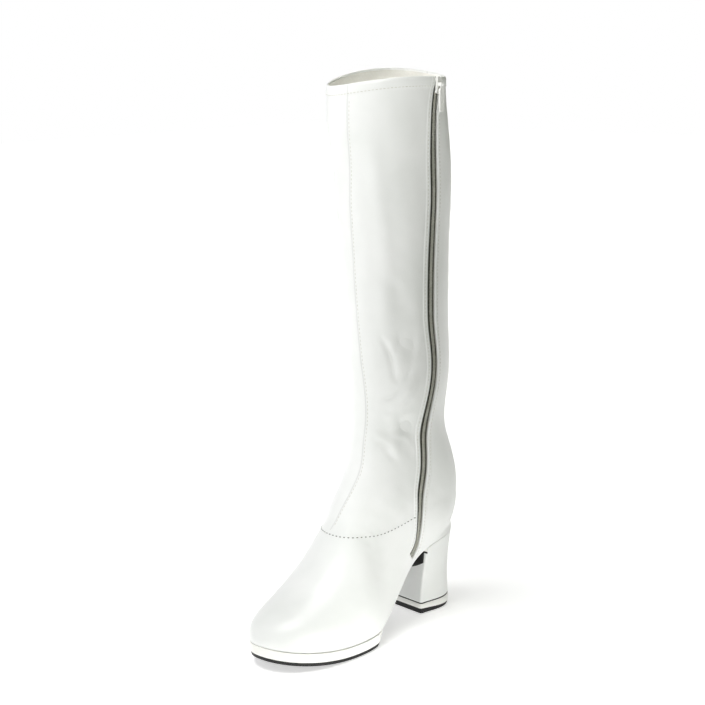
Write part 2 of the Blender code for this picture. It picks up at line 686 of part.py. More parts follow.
def heel_block_shape():
    """The covered heel block: its top follows the seat's plan and slope, its sides taper in."""
    share = heel_shares()
    y = HEEL_TOP_BREAST + share * (HEEL_REAR + EDGE_STEP - HEEL_TOP_BREAST)
    y = np.minimum(y, HEEL_REAR)
    corner = np.clip(HEEL_CORNER - (y - y[0]), 0.0, HEEL_CORNER)
    corner_in = HEEL_CORNER - np.sqrt(HEEL_CORNER**2 - corner**2)
    seat_inner, seat_outer = inset_pairs(*plan_pairs(y), EDGE_STEP)
    seat_inner[:, 1] = seat_outer[:, 1] = y
    seat_inner[:, 0] -= corner_in
    seat_outer[:, 0] += corner_in
    base_inner, base_outer = heel_base_pairs()
    levels = []
    for part in np.linspace(0.0, 1.0, HEEL_LEVELS):
        # The sides draw in quickly below the seat and then run nearly straight down
        blend = 1 - (1 - part) ** HEEL_DRAW
        inner = seat_inner + (base_inner - seat_inner) * blend
        outer = seat_outer + (base_outer - seat_outer) * blend
        waist = HEEL_WAIST_IN * math.sin(math.pi * part)
        inner, outer = inset_pairs(inner, outer, waist)
        levels.append((inner, outer, lambda at, part=part: block_height(at, part)))
    return slab_shape(levels)


def block_height(y, part):
    """Height in the heel block, part 0 on the sloping seat and 1 at the level foot."""
    seat = feather_height(y) - GAP
    return seat + (BAND_TOP + GAP - seat) * part


def heel_slice_shape(top_heights, bottom_heights, inset):
    """A layer at the foot of the heel between two sloping planes given at the breast and the rear."""
    pair = inset_pairs(*heel_base_pairs(), inset)
    ends = (HEEL_BASE_BREAST, HEEL_BASE_REAR)

    def top(y):
        return np.interp(y, ends, top_heights)

    def bottom(y):
        return np.interp(y, ends, bottom_heights)

    return slab_shape([(*pair, top), (*pair, bottom)])


def slot_strip(upper, half, top_depth, bottom_depth):
    """A strip along the middle of the slot, its edges half a width from the zip's middle line."""
    used = upper.slot_rows
    edges = upper.grid[used, SLOT_COLUMN : SLOT_COLUMN + 2]
    normal = upper.normals[used, SLOT_COLUMN : SLOT_COLUMN + 2].mean(axis=1, keepdims=True)
    side = half / (2 * SLOT_HALF)
    shares = np.array([0.5 - side, 0.5, 0.5 + side])[None, :, None]
    line = edges[:, :1] + (edges[:, 1:] - edges[:, :1]) * shares
    start = line[1] - line[0]
    line[0] += start * GAP / np.linalg.norm(start, axis=1, keepdims=True)
    return strip_shape(line - normal * top_depth, line - normal * bottom_depth)


def tape_strip(upper):
    """The zip's tape behind the slot and the facings, clear of the wall by the gap."""
    used = upper.slot_rows.copy()
    used[np.flatnonzero(used)[0] - 1] = True
    columns_used = slice(FACING_COLUMNS[0], FACING_COLUMNS[-1] + 1)
    top = upper.skin(WALL + GAP)[used, columns_used]
    bottom = upper.skin(WALL + GAP + TAPE_THICK)[used, columns_used]
    return strip_shape(top, bottom)


# Making the Blender objects


def clear_scene():
    for item in list(bpy.data.objects):
        bpy.data.objects.remove(item, do_unlink=True)


def material(name, colour, roughness, metallic=0.0):
    made = bpy.data.materials.new(name)
    made.use_nodes = True
    shader = made.node_tree.nodes["Principled BSDF"]
    shader.inputs["Base Color"].default_value = (*colour, 1.0)
    shader.inputs["Roughness"].default_value = roughness
    shader.inputs["Metallic"].default_value = metallic
    return made


def add_object(name, shape, finish, smooth_angle=40.0):
    """One object from points in millimetres and faces, with its normals pointing out."""
    points, faces = shape
    mesh = bpy.data.meshes.new(name)
    work = bmesh.new()
    corners = [work.verts.new(Vector(point) * MM) for point in points]
    for face in faces:
        loop = list(dict.fromkeys(face))
        if len(loop) > 2:
            work.faces.new([corners[i] for i in loop])
    loose = [corner for corner in work.verts if not corner.link_faces]
    bmesh.ops.delete(work, geom=loose, context="VERTS")
    bmesh.ops.recalc_face_normals(work, faces=work.faces)
    work.to_mesh(mesh)
    work.free()
    mesh.shade_smooth()
    mesh.set_sharp_from_angle(angle=math.radians(smooth_angle))
    made = bpy.data.objects.new(name, mesh)
    made.data.materials.append(finish)
    bpy.context.scene.collection.objects.link(made)
    return made


def box_shape(low, high):
    """A box between two corners, in its own axes."""
    (x0, y0, z0), (x1, y1, z1) = low, high
    points = np.array([(x, y, z) for z in (z0, z1) for y in (y0, y1) for x in (x0, x1)], float)
    faces = [(0, 2, 3, 1), (4, 5, 7, 6), (0, 1, 5, 4), (2, 6, 7, 3), (0, 4, 6, 2), (1, 3, 7, 5)]
    return points, [list(face) for face in faces]


def rod_shape(radius, half_length, sides=20):
    """A cylinder along its own y axis."""
    angle = np.arange(sides) * 2 * math.pi / sides
    ring = np.stack([radius * np.cos(angle), np.zeros(sides), radius * np.sin(angle)], axis=1)
    shift = np.array([0.0, half_length, 0.0])
    ids = np.arange(sides)
    after = np.roll(ids, -1)
    faces = np.stack([ids, after, after + sides, ids + sides], axis=1).tolist()
    faces += [ids[::-1].tolist(), (ids + sides).tolist()]
    return np.concatenate([ring - shift, ring + shift]), faces


def combine(base, other, operation):
    """Joins or cuts base with another object, which is then removed."""
    step = base.modifiers.new("combine", "BOOLEAN")
    step.object = other
    step.operation = operation
    step.solver = "EXACT"
    bpy.context.view_layer.update()
    result = bpy.data.meshes.new_from_object(base.evaluated_get(bpy.context.evaluated_depsgraph_get()))
    base.modifiers.remove(step)
    base.data = result
    bpy.data.objects.remove(other, do_unlink=True)


def zip_end_frame(upper):
    """Middle of the slider on the upper's surface, and the level direction out from it."""
    line = upper.grid[:, SLOT_COLUMN : SLOT_COLUMN + 2].mean(axis=1)
    normal = upper.normals[:, SLOT_COLUMN : SLOT_COLUMN + 2].mean(axis=1)
    shaft = upper.rows["place"] > len(FOOT_SECTIONS) + 6
    place = [np.interp(SLIDER_MIDDLE, line[shaft, 2], line[shaft, k]) for k in range(3)]
    out = np.array([np.interp(SLIDER_MIDDLE, line[shaft, 2], normal[shaft, k]) for k in range(3)])
    out[2] = 0.0
    return np.array(place), out / np.linalg.norm(out)


def placed(shape, centre, out, tilt=0.0):
    """A shape in slider axes (x out of the boot, y to the back, z up) set on the upper."""
    points, faces = shape
    turn = math.radians(tilt)
    y = points[:, 1] * math.cos(turn) + points[:, 2] * math.sin(turn)
    z = points[:, 2] * math.cos(turn) - points[:, 1] * math.sin(turn)
    back = np.array([-out[1], out[0], 0.0])
    world = centre + points[:, :1] * out + y[:, None] * back + z[:, None] * np.array([0.0, 0.0, 1.0])
    return world, faces


def build_slider(upper, finish):
    """The slider: a tapering body on the coil, with two ears and the pin that holds the pull tab."""
    centre, out = zip_end_frame(upper)
    half = SLIDER_HEIGHT / 2
    wide = SLIDER_WIDTH / 2
    points, faces = box_shape((SLIDER_SEAT, -wide, -half), (SLIDER_SEAT + SLIDER_THICK, wide, half))
    taper = np.where(points[:, 2] < 0.0, SLIDER_TAPER, 1.0)
    points[:, 1] *= taper
    slider = add_object("zip_slider", placed((points, faces), centre, out, SLIDER_TILT), finish)
    soften = slider.modifiers.new("soften", "BEVEL")
    soften.width = SLIDER_ROUND * MM
    soften.segments = 2
    bpy.context.view_layer.update()
    softened = slider.evaluated_get(bpy.context.evaluated_depsgraph_get())
    mesh = bpy.data.meshes.new_from_object(softened)
    slider.modifiers.remove(soften)
    slider.data = mesh
    axis_out = SLIDER_SEAT + SLIDER_THICK + KNUCKLE_RADIUS + GAP
    for side in (-1.0, 1.0):
        near = side * (KNUCKLE_HALF + GAP)
        far = side * (KNUCKLE_HALF + GAP + EAR_THICK)
        low = (SLIDER_SEAT + 1.0, min(near, far), PIN_HEIGHT - EAR_HALF)
        high = (axis_out + EAR_OVER, max(near, far), PIN_HEIGHT + EAR_HALF)
        ear = add_object("ear", placed(box_shape(low, high), centre, out), finish)
        combine(slider, ear, "UNION")
    pin_points, pin_faces = rod_shape(PIN_RADIUS, KNUCKLE_HALF + GAP + EAR_THICK / 2)
    pin_points = pin_points + np.array([axis_out, 0.0, PIN_HEIGHT])
    pin = add_object("pin", placed((pin_points, pin_faces), centre, out), finish)
    combine(slider, pin, "UNION")
    slider.data.shade_smooth()
    slider.data.set_sharp_from_angle(angle=math.radians(40.0))
    return centre + out * axis_out + np.array([0.0, 0.0, PIN_HEIGHT]), out


def build_pull(axis_point, out, finish):
    """The pull tab, hanging from the slider's pin, with its origin on the pin's axis."""
    centre = np.zeros(3)
    knuckle = rod_shape(KNUCKLE_RADIUS, KNUCKLE_HALF, 24)
    pull = add_object("zip_pull", placed(knuckle, centre, out), finish)
    half_thick = PULL_THICK / 2 - NECK_IN
    half_wide = KNUCKLE_HALF - NECK_IN
    neck = box_shape((-half_thick, -half_wide, -NECK_LENGTH - 1.0), (half_thick, half_wide, -0.6))
    combine(pull, add_object("neck", placed(neck, centre, out), finish), "UNION")
    plate_points, plate_faces = plate_shape()
    combine(pull, add_object("plate", placed((plate_points, plate_faces), centre, out), finish), "UNION")
    bore = rod_shape(PIN_RADIUS + GAP, KNUCKLE_HALF + 1.0, 24)
    combine(pull, add_object("bore", placed(bore, centre, out), finish), "DIFFERENCE")
    pull.data.shade_smooth()
    pull.data.set_sharp_from_angle(angle=math.radians(40.0))
    pull.location = Vector(axis_point) * MM
    return pull


def plate_shape():
    """The pull's plate: straight sides and rounded corners, hanging below the neck."""
    half = PULL_WIDTH / 2
    top = -NECK_LENGTH
    low = -PULL_LENGTH
    corners = ((half, low, -90.0, 2.6), (half, top, 0.0, 1.6), (-half, top, 90.0, 1.6), (-half, low, 180.0, 2.6))
    outline = []
    for y, z, start, radius in corners:
        middle_y = y - math.copysign(radius, y)
        middle_z = z + radius if z == low else z - radius
        for step in range(6):
            angle = math.radians(start + 18.0 * step)
            outline.append((middle_y + radius * math.cos(angle), middle_z + radius * math.sin(angle)))
    outline = np.array(outline)
    count = len(outline)
    faces = [list(range(count))[::-1], [i + count for i in range(count)]]
    faces += [[i, (i + 1) % count, (i + 1) % count + count, i + count] for i in range(count)]
    layers = [np.insert(outline, 0, x, axis=1) for x in (-PULL_THICK / 2, PULL_THICK / 2)]
    return np.concatenate(layers), faces


def main():
    clear_scene()
    leather = material("white faux leather", (0.86, 0.87, 0.83), 0.38)
    edge = material("white sole edge", (0.88, 0.88, 0.86), 0.42)
    rubber = material("black rubber", (0.02, 0.02, 0.02), 0.7)
    lining = material("white lining", (0.80, 0.80, 0.77), 0.8)
    tape = material("grey zip tape", (0.33, 0.34, 0.32), 0.85)
    coil = material("white zip coil", (0.78, 0.79, 0.77), 0.45)
    metal = material("white enamelled metal", (0.85, 0.86, 0.86), 0.3)
    upper = Upper()
    add_object("upper", upper_shape(upper), leather, 30.0)
    add_object("insole", insole_shape(), lining)
    add_object("sole_edge", sole_edge_shape(), edge)
    add_object("outsole", outsole_shape(), rubber)
    add_object("heel_block", heel_block_shape(), leather)
    band_low = (TOP_PIECE_BREAST + GAP, TOP_PIECE_REAR + GAP)
    add_object("heel_band", heel_slice_shape((BAND_TOP, BAND_TOP), band_low, -0.2), edge)
    add_object("heel_top_piece", heel_slice_shape((TOP_PIECE_BREAST, TOP_PIECE_REAR), (0.0, 0.0), 0.5), rubber)
    add_object("zip_tape", tape_strip(upper), tape)
    add_object("zip_coil", slot_strip(upper, COIL_HALF, COIL_DEPTH, COIL_DEPTH + COIL_THICK), coil)
    axis_point, out = build_slider(upper, metal)
    build_pull(axis_point, out, metal)


main()
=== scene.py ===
"""White knee-high go go boot with a block heel and an inside zip, right foot: its looks.

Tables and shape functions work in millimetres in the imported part's frame: +Z up, the toe towards
-Y, the inner side of the foot towards +X, the origin in the middle of the heel's ground face.
"""

import math
from functools import partial

import bpy
import numpy as np
from mathutils import Matrix


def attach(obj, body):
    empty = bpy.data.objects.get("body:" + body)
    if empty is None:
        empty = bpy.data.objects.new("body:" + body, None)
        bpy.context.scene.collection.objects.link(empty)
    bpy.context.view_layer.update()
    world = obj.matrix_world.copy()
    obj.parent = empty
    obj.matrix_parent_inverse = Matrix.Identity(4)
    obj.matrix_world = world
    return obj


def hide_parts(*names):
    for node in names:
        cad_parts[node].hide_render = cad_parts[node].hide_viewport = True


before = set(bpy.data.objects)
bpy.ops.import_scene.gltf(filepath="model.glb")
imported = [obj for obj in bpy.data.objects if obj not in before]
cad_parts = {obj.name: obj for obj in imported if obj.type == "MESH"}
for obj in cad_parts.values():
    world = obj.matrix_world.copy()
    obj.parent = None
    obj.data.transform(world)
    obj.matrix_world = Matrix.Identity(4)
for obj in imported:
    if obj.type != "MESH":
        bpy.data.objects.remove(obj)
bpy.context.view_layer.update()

# Shape tables

MM = 0.001

# Driving sizes of the last and the boot, as in the part's source
TOE_TIP = -204.0
TOE_TIP_X = -4.0
HEEL_REAR = 30.0
SOLE_STACK = 12.0
TOE_SPRING = 8.9
WALL = 1.8
LEATHER_WALL = 0.9
GAP = 0.3
TOE_SQUARENESS = 2.15
SEAT_WIDEST_Y = 2.0
SEAT_SQUARENESS = 2.15
EDGE_STEP = 0.8
BALL_FLAT_FRONT = -124.0
BALL_FLAT_REAR = -106.0
NOSE_LENGTH = 26.0
NOSE_SQUARENESS = 2.3

# Half widths of the sole edge on each side of the centre line
PLAN_COLUMNS = ("y", "inner", "outer")
PLAN = (
    (-124.0, 46.0, None),
    (-108.0, None, 44.3),
    (-96.0, 41.5, 43.6),
    (-72.0, 32.5, 39.8),
    (-48.0, 27.0, 35.0),
    (-25.0, 26.6, 31.8),
    (2.0, 29.3, 29.8),
)

# Height (y, z) of the feather edge, where the upper meets the sole
FEATHER = (
    (-116.0, 12.0),
    (-106.0, 12.0),
    (-96.0, 13.4),
    (-82.0, 17.3),
    (-66.0, 26.0),
    (-50.0, 40.0),
    (-36.0, 52.5),
    (-20.0, 61.6),
    (0.0, 67.6),
    (HEEL_REAR, 75.5),
)

# Cross-sections over the sole: ridge and base of each slanting plane, middle across the foot, how
# far the sides swell beyond the sole's plan, where the section is widest and how square its crown is
FOOT_COLUMNS = ("ridge_y", "ridge_z", "base_y", "centre", "inner_swell", "outer_swell", "widest", "crown")
FOOT_SECTIONS = (
    (-204.0, 38.5, -204.0, -4.0, 0.6, 0.6, 0.30, 2.6),
    (-190.0, 41.5, -190.0, -3.5, 0.8, 0.8, 0.28, 2.5),
    (-172.0, 47.5, -172.0, -2.5, 1.0, 1.0, 0.26, 2.4),
    (-152.0, 57.5, -152.0, -1.5, 1.0, 1.2, 0.24, 2.25),
    (-135.0, 69.5, -131.0, -1.0, 0.8, 1.5, 0.23, 2.15),
    (-122.0, 82.0, -110.0, -1.0, 1.0, 1.7, 0.24, 2.1),
    (-112.0, 95.5, -88.0, -1.0, 2.0, 2.2, 0.27, 2.1),
    (-104.0, 109.0, -66.0, -1.0, 3.6, 2.8, 0.31, 2.1),
    (-97.0, 121.0, -44.0, -1.0, 5.8, 5.0, 0.34, 2.15),
    (-91.0, 130.5, -24.0, -1.0, 6.8, 6.2, 0.35, 2.2),
    (-86.5, 138.0, -6.0, -1.0, 7.0, 7.0, 0.34, 2.3),
    (-83.0, 144.5, 10.0, -1.0, 7.0, 7.6, 0.32, 2.4),
    (-81.0, 149.5, 22.0, -1.0, 7.0, 8.2, 0.30, 2.45),
    (-79.7, 154.0, HEEL_REAR, -1.2, 6.9, 8.6, 0.29, 2.5),
)
# Closed cross-sections of the heel cup and the shaft, from the back point to the front point
LEG_COLUMNS = ("ridge_y", "ridge_z", "base_y", "base_z", "centre", "half_width", "widest", "crown")
LEG_SECTIONS = (
    (-78.6, 158.5, 35.2, 88.0, -1.4, 36.4, 0.29, 2.5),
    (-77.4, 163.5, 38.6, 101.0, -1.6, 36.9, 0.30, 2.45),
    (-76.2, 169.0, 39.6, 115.0, -1.8, 36.8, 0.32, 2.4),
    (-75.0, 175.0, 37.6, 130.0, -2.0, 36.2, 0.36, 2.3),
    (-73.8, 181.5, 32.6, 145.0, -2.0, 35.6, 0.41, 2.15),
    (-72.8, 189.0, 26.6, 162.0, -2.1, 35.6, 0.46, 2.05),
    (-72.2, 198.0, 23.6, 180.0, -2.3, 36.6, 0.49, 2.0),
    (-72.2, 210.0, 25.6, 200.0, -2.6, 38.6, 0.50, 2.0),
    (-72.8, 232.0, 29.0, 230.0, -3.0, 40.6, 0.50, 2.0),
    (-73.3, 260.0, 28.8, 260.0, -3.5, 40.8, 0.50, 2.0),
    (-73.4, 290.0, 28.0, 290.0, -4.0, 41.6, 0.50, 2.0),
    (-73.8, 320.0, 28.9, 320.0, -5.0, 42.8, 0.50, 2.0),
    (-75.2, 350.0, 30.0, 350.0, -6.0, 44.6, 0.50, 2.0),
    (-78.0, 380.0, 31.9, 380.0, -7.0, 46.9, 0.50, 2.0),
    (-79.5, 410.0, 32.4, 410.0, -8.0, 47.8, 0.50, 2.0),
    (-83.6, 440.0, 29.3, 440.0, -8.6, 48.4, 0.50, 2.0),
    (-84.0, 464.0, 27.4, 464.0, -9.0, 47.9, 0.50, 2.0),
    (-83.4, 482.0, 27.2, 482.0, -9.0, 47.4, 0.50, 2.0),
)
COLLAR_HEIGHT = 482.0
COLLAR_CENTRE = (-9.0, -28.0)
COLLAR_HALF = (47.4, 55.3)
COLLAR_TURN = math.radians(55.0)
COLLAR_ACROSS = 3.0
COLLAR_BEHIND = 3.0
COLLAR_SADDLE = 3.2
COLLAR_FADE = 70.0

# Middle line of the zip (z, y): how far back it lies at each height
ZIP_LINE = (
    (60.0, -39.0),
    (76.0, -37.0),
    (100.0, -37.5),
    (117.0, -36.5),
    (132.0, -32.0),
    (148.0, -28.5),
    (162.0, -30.0),
    (180.0, -29.0),
    (198.0, -25.5),
    (216.0, -22.0),
    (236.0, -20.5),
    (254.0, -21.8),
    (272.0, -24.2),
    (292.0, -25.0),
    (340.0, -24.0),
    (400.0, -23.4),
    (446.0, -22.6),
    (460.0, -20.5),
    (486.0, -12.5),
)
ZIP_FOOT = 62.0
ZIP_ROWS_FROM = 6.0
ZIP_ROWS_FULL = 8.0
SLOT_HALF = 4.75
FACING = 5.0
FACING_STITCH = 7.75
FAR_AWAY = 99.0
ZIP_CLEAR = 13.75
HEM_HEIGHT = 9.0
HEM_STITCH = 8.2
VAMP_STITCH = 1.9
FRONT_STITCH = 1.7

# Columns of the upper's surface beside the zip, by their distance from its middle line
ZIP_SIDE = (2.8, 4.75, 5.0, 5.4, 6.0, 6.9, 7.75, 8.6, 9.4, 9.75, 10.05, 10.6, 11.5)
ZIP_OFFSETS = tuple(-offset for offset in reversed(ZIP_SIDE)) + (0.0,) + ZIP_SIDE
BACK_COLUMNS = 22
FRONT_COLUMNS = 26
OUTER_COLUMNS = 60
ROW_SPACING = 1.9
SECTION_STEPS = 140

# Rows of the tables between which the ankle is evened out
EASE_FROM = 8.5
EASE_TO = 19.0
EASE_FADE = 2.5
EASE_ROUNDS = 14


# Surface of the boot


def columns(table, names):
    """A table's columns by name; blank cells become nan."""
    cells = np.array([[math.nan if cell is None else cell for cell in row] for row in table])
    return dict(zip(names, cells.T))


def spline(knots, values, at):
    """Natural cubic spline through the knots, straight beyond the ends.

    The second derivatives at the knots solve the usual three-term system. values may hold any
    number of curves side by side; the result has one row for each place in at.
    """
    knots = np.asarray(knots, float)
    values = np.asarray(values, float)
    curves = values.reshape(len(knots), -1)
    count = len(knots)
    step = np.diff(knots)
    slope = np.diff(curves, axis=0) / step[:, None]
    inner = np.arange(1, count - 1)
    matrix = np.eye(count)
    matrix[inner, inner - 1] = step[:-1]
    matrix[inner, inner] = 2 * (step[:-1] + step[1:])
    matrix[inner, inner + 1] = step[1:]
    right = np.zeros_like(curves)
    right[1:-1] = 6 * np.diff(slope, axis=0)
    bend = np.linalg.solve(matrix, right)
    places = np.asarray(at, float).ravel()
    i = np.clip(np.searchsorted(knots, places) - 1, 0, count - 2)
    t = (places - knots[i])[:, None]
    h = step[i][:, None]
    first = slope[i] - h * (2 * bend[i] + bend[i + 1]) / 6
    read = curves[i] + t * (first + t * (bend[i] / 2 + t * (bend[i + 1] - bend[i]) / (6 * h)))
    below = places < knots[0]
    above = places > knots[-1]
    start = slope[0] - step[0] * bend[1] / 6
    end = slope[-1] + step[-1] * bend[-2] / 6
    read[below] = curves[0] + (places[below, None] - knots[0]) * start
    read[above] = curves[-1] + (places[above, None] - knots[-1]) * end
    return read.reshape(np.shape(at) + values.shape[1:])


def smooth_step(value):
    """0 below 0, 1 above 1 and 3t^2 - 2t^3 between."""
    t = np.clip(value, 0.0, 1.0)
    return t * t * (3 - 2 * t)


def bump(distance, width):
    """A soft ridge 1 high at distance 0 that ends at width: (1 - (d/w)^2)^2."""
    return np.clip(1 - (np.asarray(distance) / width) ** 2, 0.0, None) ** 2


def plan_half_width(y, side):
    """Half width of the sole edge on one side at y: round toe, table along the waist, round seat."""
    y = np.asarray(y, float)
    plan = columns(PLAN, PLAN_COLUMNS)
    known = ~np.isnan(plan[side])
    table_y = plan["y"][known]
    table_w = plan[side][known]
    ball_y = table_y[0]
    ball_w = table_w[0]
    knots = np.concatenate([[2 * ball_y - table_y[1]], table_y, [2 * table_y[-1] - table_y[-2]]])
    widths = np.concatenate([[table_w[1]], table_w, [table_w[-2]]])
    middle = spline(knots, widths, y)
    tip_x = TOE_TIP_X if side == "inner" else -TOE_TIP_X
    toe = np.clip((ball_y - y) / (ball_y - TOE_TIP), 0.0, 1.0)
    front = tip_x + (ball_w - tip_x) * (1 - toe**TOE_SQUARENESS) ** (1 / TOE_SQUARENESS)
    seat = np.clip((y - SEAT_WIDEST_Y) / (HEEL_REAR + EDGE_STEP - SEAT_WIDEST_Y), 0.0, 1.0)
    rear = table_w[-1] * (1 - seat**SEAT_SQUARENESS) ** (1 / SEAT_SQUARENESS)
    return np.where(y < ball_y, front, np.where(y > SEAT_WIDEST_Y, rear, middle))


def plan_sides(y):
    """Points of the sole's plan on the inner and on the outer side at each y."""
    inner = np.stack([plan_half_width(y, "inner"), y], axis=1)
    return inner, np.stack([-plan_half_width(y, "outer"), y], axis=1)


def ground_height(y):
    """Underside of the sole at the forefoot: flat under the ball, rising to the toe."""
    share = np.clip((BALL_FLAT_FRONT - np.asarray(y, float)) / (BALL_FLAT_FRONT - TOE_TIP), 0.0, None)
    return TOE_SPRING * share**2


def feather_height(y):
    """Height of the edge where the upper meets the sole."""
    y = np.asarray(y, float)
    return np.where(y < BALL_FLAT_REAR, SOLE_STACK + ground_height(y), spline(*np.transpose(FEATHER), y))


def section_table():
    """Both section tables as one run from the toe tip to the collar, and the heel's row."""
    foot = columns(FOOT_SECTIONS, FOOT_COLUMNS)
    leg = columns(LEG_SECTIONS, LEG_COLUMNS)
    foot["base_z"] = feather_height(foot["base_y"])
    for side, sign in (("inner", 1.0), ("outer", -1.0)):
        seat = plan_half_width(SEAT_WIDEST_Y, side) - EDGE_STEP
        leg[side + "_swell"] = leg["half_width"] - (seat - sign * leg["centre"])
    names = FOOT_COLUMNS + ("base_z",)
    return {name: np.concatenate([foot[name], leg[name]]) for name in names}, len(FOOT_SECTIONS) - 1


def section_rows():
    """Sections of the upper from the toe tip to the collar, two to a row of the tables.

    Over the nose the rows follow the angle of a quarter circle, and at the heel's rear its sine.
    """
    table, heel_row = section_table()
    angle = np.linspace(0.0, math.pi / 2, 9)
    nose_y = TOE_TIP + NOSE_LENGTH * (1 - np.cos(angle))
    nose_place = np.interp(nose_y, table["base_y"][:4], np.arange(4))
    last = heel_row - 1
    top = len(table["base_y"]) - 1
    middle = np.linspace(nose_place[-1], last, int(2 * (last - nose_place[-1])) + 1)[1:]
    rear = last + np.sin(np.linspace(0.0, math.pi / 2, 5))[1:]
    above = np.linspace(heel_row, top, 2 * (top - heel_row) + 1)[1:]
    place = np.concatenate([nose_place, middle, rear, above])
    rows = {name: spline(np.arange(top + 1), table[name], place) for name in table}
    on_sole = place <= heel_row
    rows["base_y"][: len(nose_y)] = nose_y
    rows["ridge_y"][: len(nose_y)] = nose_y
    rows["base_y"] = np.where(on_sole, np.minimum(rows["base_y"], HEEL_REAR), rows["base_y"])
    rows["base_z"] = np.where(on_sole, feather_height(rows["base_y"]), rows["base_z"])
    nose = np.clip((TOE_TIP + NOSE_LENGTH - rows["base_y"]) / NOSE_LENGTH, 0.0, 1.0)
    rise = (1 - nose**NOSE_SQUARENESS) ** (1 / NOSE_SQUARENESS)
    rows["ridge_z"] = rows["base_z"] + (rows["ridge_z"] - rows["base_z"]) * rise
    for side, sign in (("inner", 1.0), ("outer", -1.0)):
        seat = plan_half_width(np.minimum(rows["base_y"], SEAT_WIDEST_Y), side)
        foot = plan_half_width(rows["base_y"], side)
        rows[side] = seat - EDGE_STEP - sign * rows["centre"] + rows[side + "_swell"] * rise
        rows[side + "_foot"] = np.where(on_sole, foot - EDGE_STEP - sign * rows["centre"], 0.0)
        rows[side + "_foot"][[0, np.flatnonzero(on_sole)[-1]]] = 0.0
        rows[side][0] = 0.0
    rows["place"] = place
    return rows


def half_section(row, side):
    """One side of a section from its base to its ridge.

    Two quarter ovals meet at the widest point: x = w cos(a), share = widest + k sin(a). The lower
    one is cut off at the feather edge and the upper one has the powers 2/crown.
    """
    sign = 1.0 if side == "inner" else -1.0
    width = max(row[side], 1e-6)
    cut = math.acos(min(row[side + "_foot"] / width, 1.0))
    low = row["widest"] / max(math.sin(cut), 1e-6)
    angle = np.linspace(-cut, math.pi / 2, SECTION_STEPS + 1)
    power = 2 / row["crown"]
    upper = np.clip(angle, 0.0, None)
    high = row["widest"] + (1 - row["widest"]) * np.sin(upper) ** power
    share = np.where(angle < 0, row["widest"] + low * np.sin(angle), high)
    across = np.where(angle < 0, np.cos(angle), np.cos(upper) ** power)
    across[-1] = 0.0
    x = row["centre"] + sign * width * across
    y = row["base_y"] + share * (row["ridge_y"] - row["base_y"])
    z = row["base_z"] + share * (row["ridge_z"] - row["base_z"])
    return np.stack([x, y, z], axis=1)


def collar_wave(points):
    """The points of the shaft lifted by the wave of the collar edge, fading down the shaft."""
    x = (points[..., 0] - COLLAR_CENTRE[0]) / COLLAR_HALF[0]
    y = (points[..., 1] - COLLAR_CENTRE[1]) / COLLAR_HALF[1]
    across = x * math.cos(COLLAR_TURN) + y * math.sin(COLLAR_TURN)
    behind = y * math.cos(COLLAR_TURN) - x * math.sin(COLLAR_TURN)
    wave = COLLAR_ACROSS * across + COLLAR_BEHIND * behind + COLLAR_SADDLE * (behind**2 - across**2)
    fade = smooth_step((points[..., 2] - (COLLAR_HEIGHT - COLLAR_FADE)) / COLLAR_FADE)
    lifted = points.copy()
    lifted[..., 2] += wave * fade
    return lifted


def arc_length(points):
    """Length along a line of points, 0 at the first."""
    return np.concatenate([[0.0], np.cumsum(np.linalg.norm(np.diff(points, axis=0), axis=1))])


def along(points, length, places):
    """Points at the given lengths along a line."""
    return np.stack([np.interp(places, length, points[:, k]) for k in range(3)], axis=1)


def section_columns(row):
    """One section's columns with their distances from the zip's middle and from the ridge.

    From place 6 to 8 of the tables the columns turn from an even spread to one that follows the
    zip, with the columns of ZIP_OFFSETS beside it.
    """
    inner = half_section(row, "inner")
    outer = half_section(row, "outer")
    inner_length = arc_length(inner)
    outer_length = arc_length(outer)
    total = inner_length[-1]
    height = np.clip(inner[:, 2], ZIP_LINE[0][0], ZIP_LINE[-1][0])
    ahead = spline(*np.transpose(ZIP_LINE), height) - inner[:, 1]
    crossing = float(np.interp(0.0, ahead, inner_length))
    middle = min(max(crossing, ZIP_CLEAR), max(total - ZIP_CLEAR, ZIP_CLEAR))
    marks = middle + np.array(ZIP_OFFSETS)
    behind = marks[0] * np.linspace(0.0, 1.0, BACK_COLUMNS + 1)[:-1]
    before = marks[-1] + (total - marks[-1]) * np.linspace(0.0, 1.0, FRONT_COLUMNS + 1)[1:]
    about_zip = np.concatenate([behind, marks, before])
    even = np.linspace(0.0, total, len(about_zip))
    follow = float(smooth_step((row["place"] - ZIP_ROWS_FROM) / (ZIP_ROWS_FULL - ZIP_ROWS_FROM)))
    places = even + (about_zip - even) * follow
    back = np.linspace(1.0, 0.0, OUTER_COLUMNS + 1)[1:] * outer_length[-1]
    points = np.concatenate([along(inner, inner_length, places), along(outer, outer_length, back)])
    from_ridge = np.concatenate([places - total, outer_length[-1] - back])
    from_zip = np.concatenate([places - middle, np.full(len(back), FAR_AWAY)])
    return np.column_stack([points, from_ridge, from_zip])


def eased(grid, place):
    """The grid with its rows round the ankle evened out, as in the part's source.

    Each point moves by half the way to the middle of its neighbours in the rows above and below,
    fourteen times, the edge columns not at all and the rows outside the ankle less and less.
    """
    rows_share = smooth_step((place - EASE_FROM) / EASE_FADE) * smooth_step((EASE_TO - place) / EASE_FADE)
    columns_share = smooth_step(np.minimum(np.arange(grid.shape[1]), np.arange(grid.shape[1])[::-1]) / 5.0)
    weight = 0.5 * (rows_share[:, None] * columns_share[None, :])[1:-1, :, None]
    smooth = grid.copy()
    for _ in range(EASE_ROUNDS):
        middle = (smooth[:-2] + smooth[2:]) / 2
        smooth[1:-1] += (middle - smooth[1:-1]) * weight
    return smooth


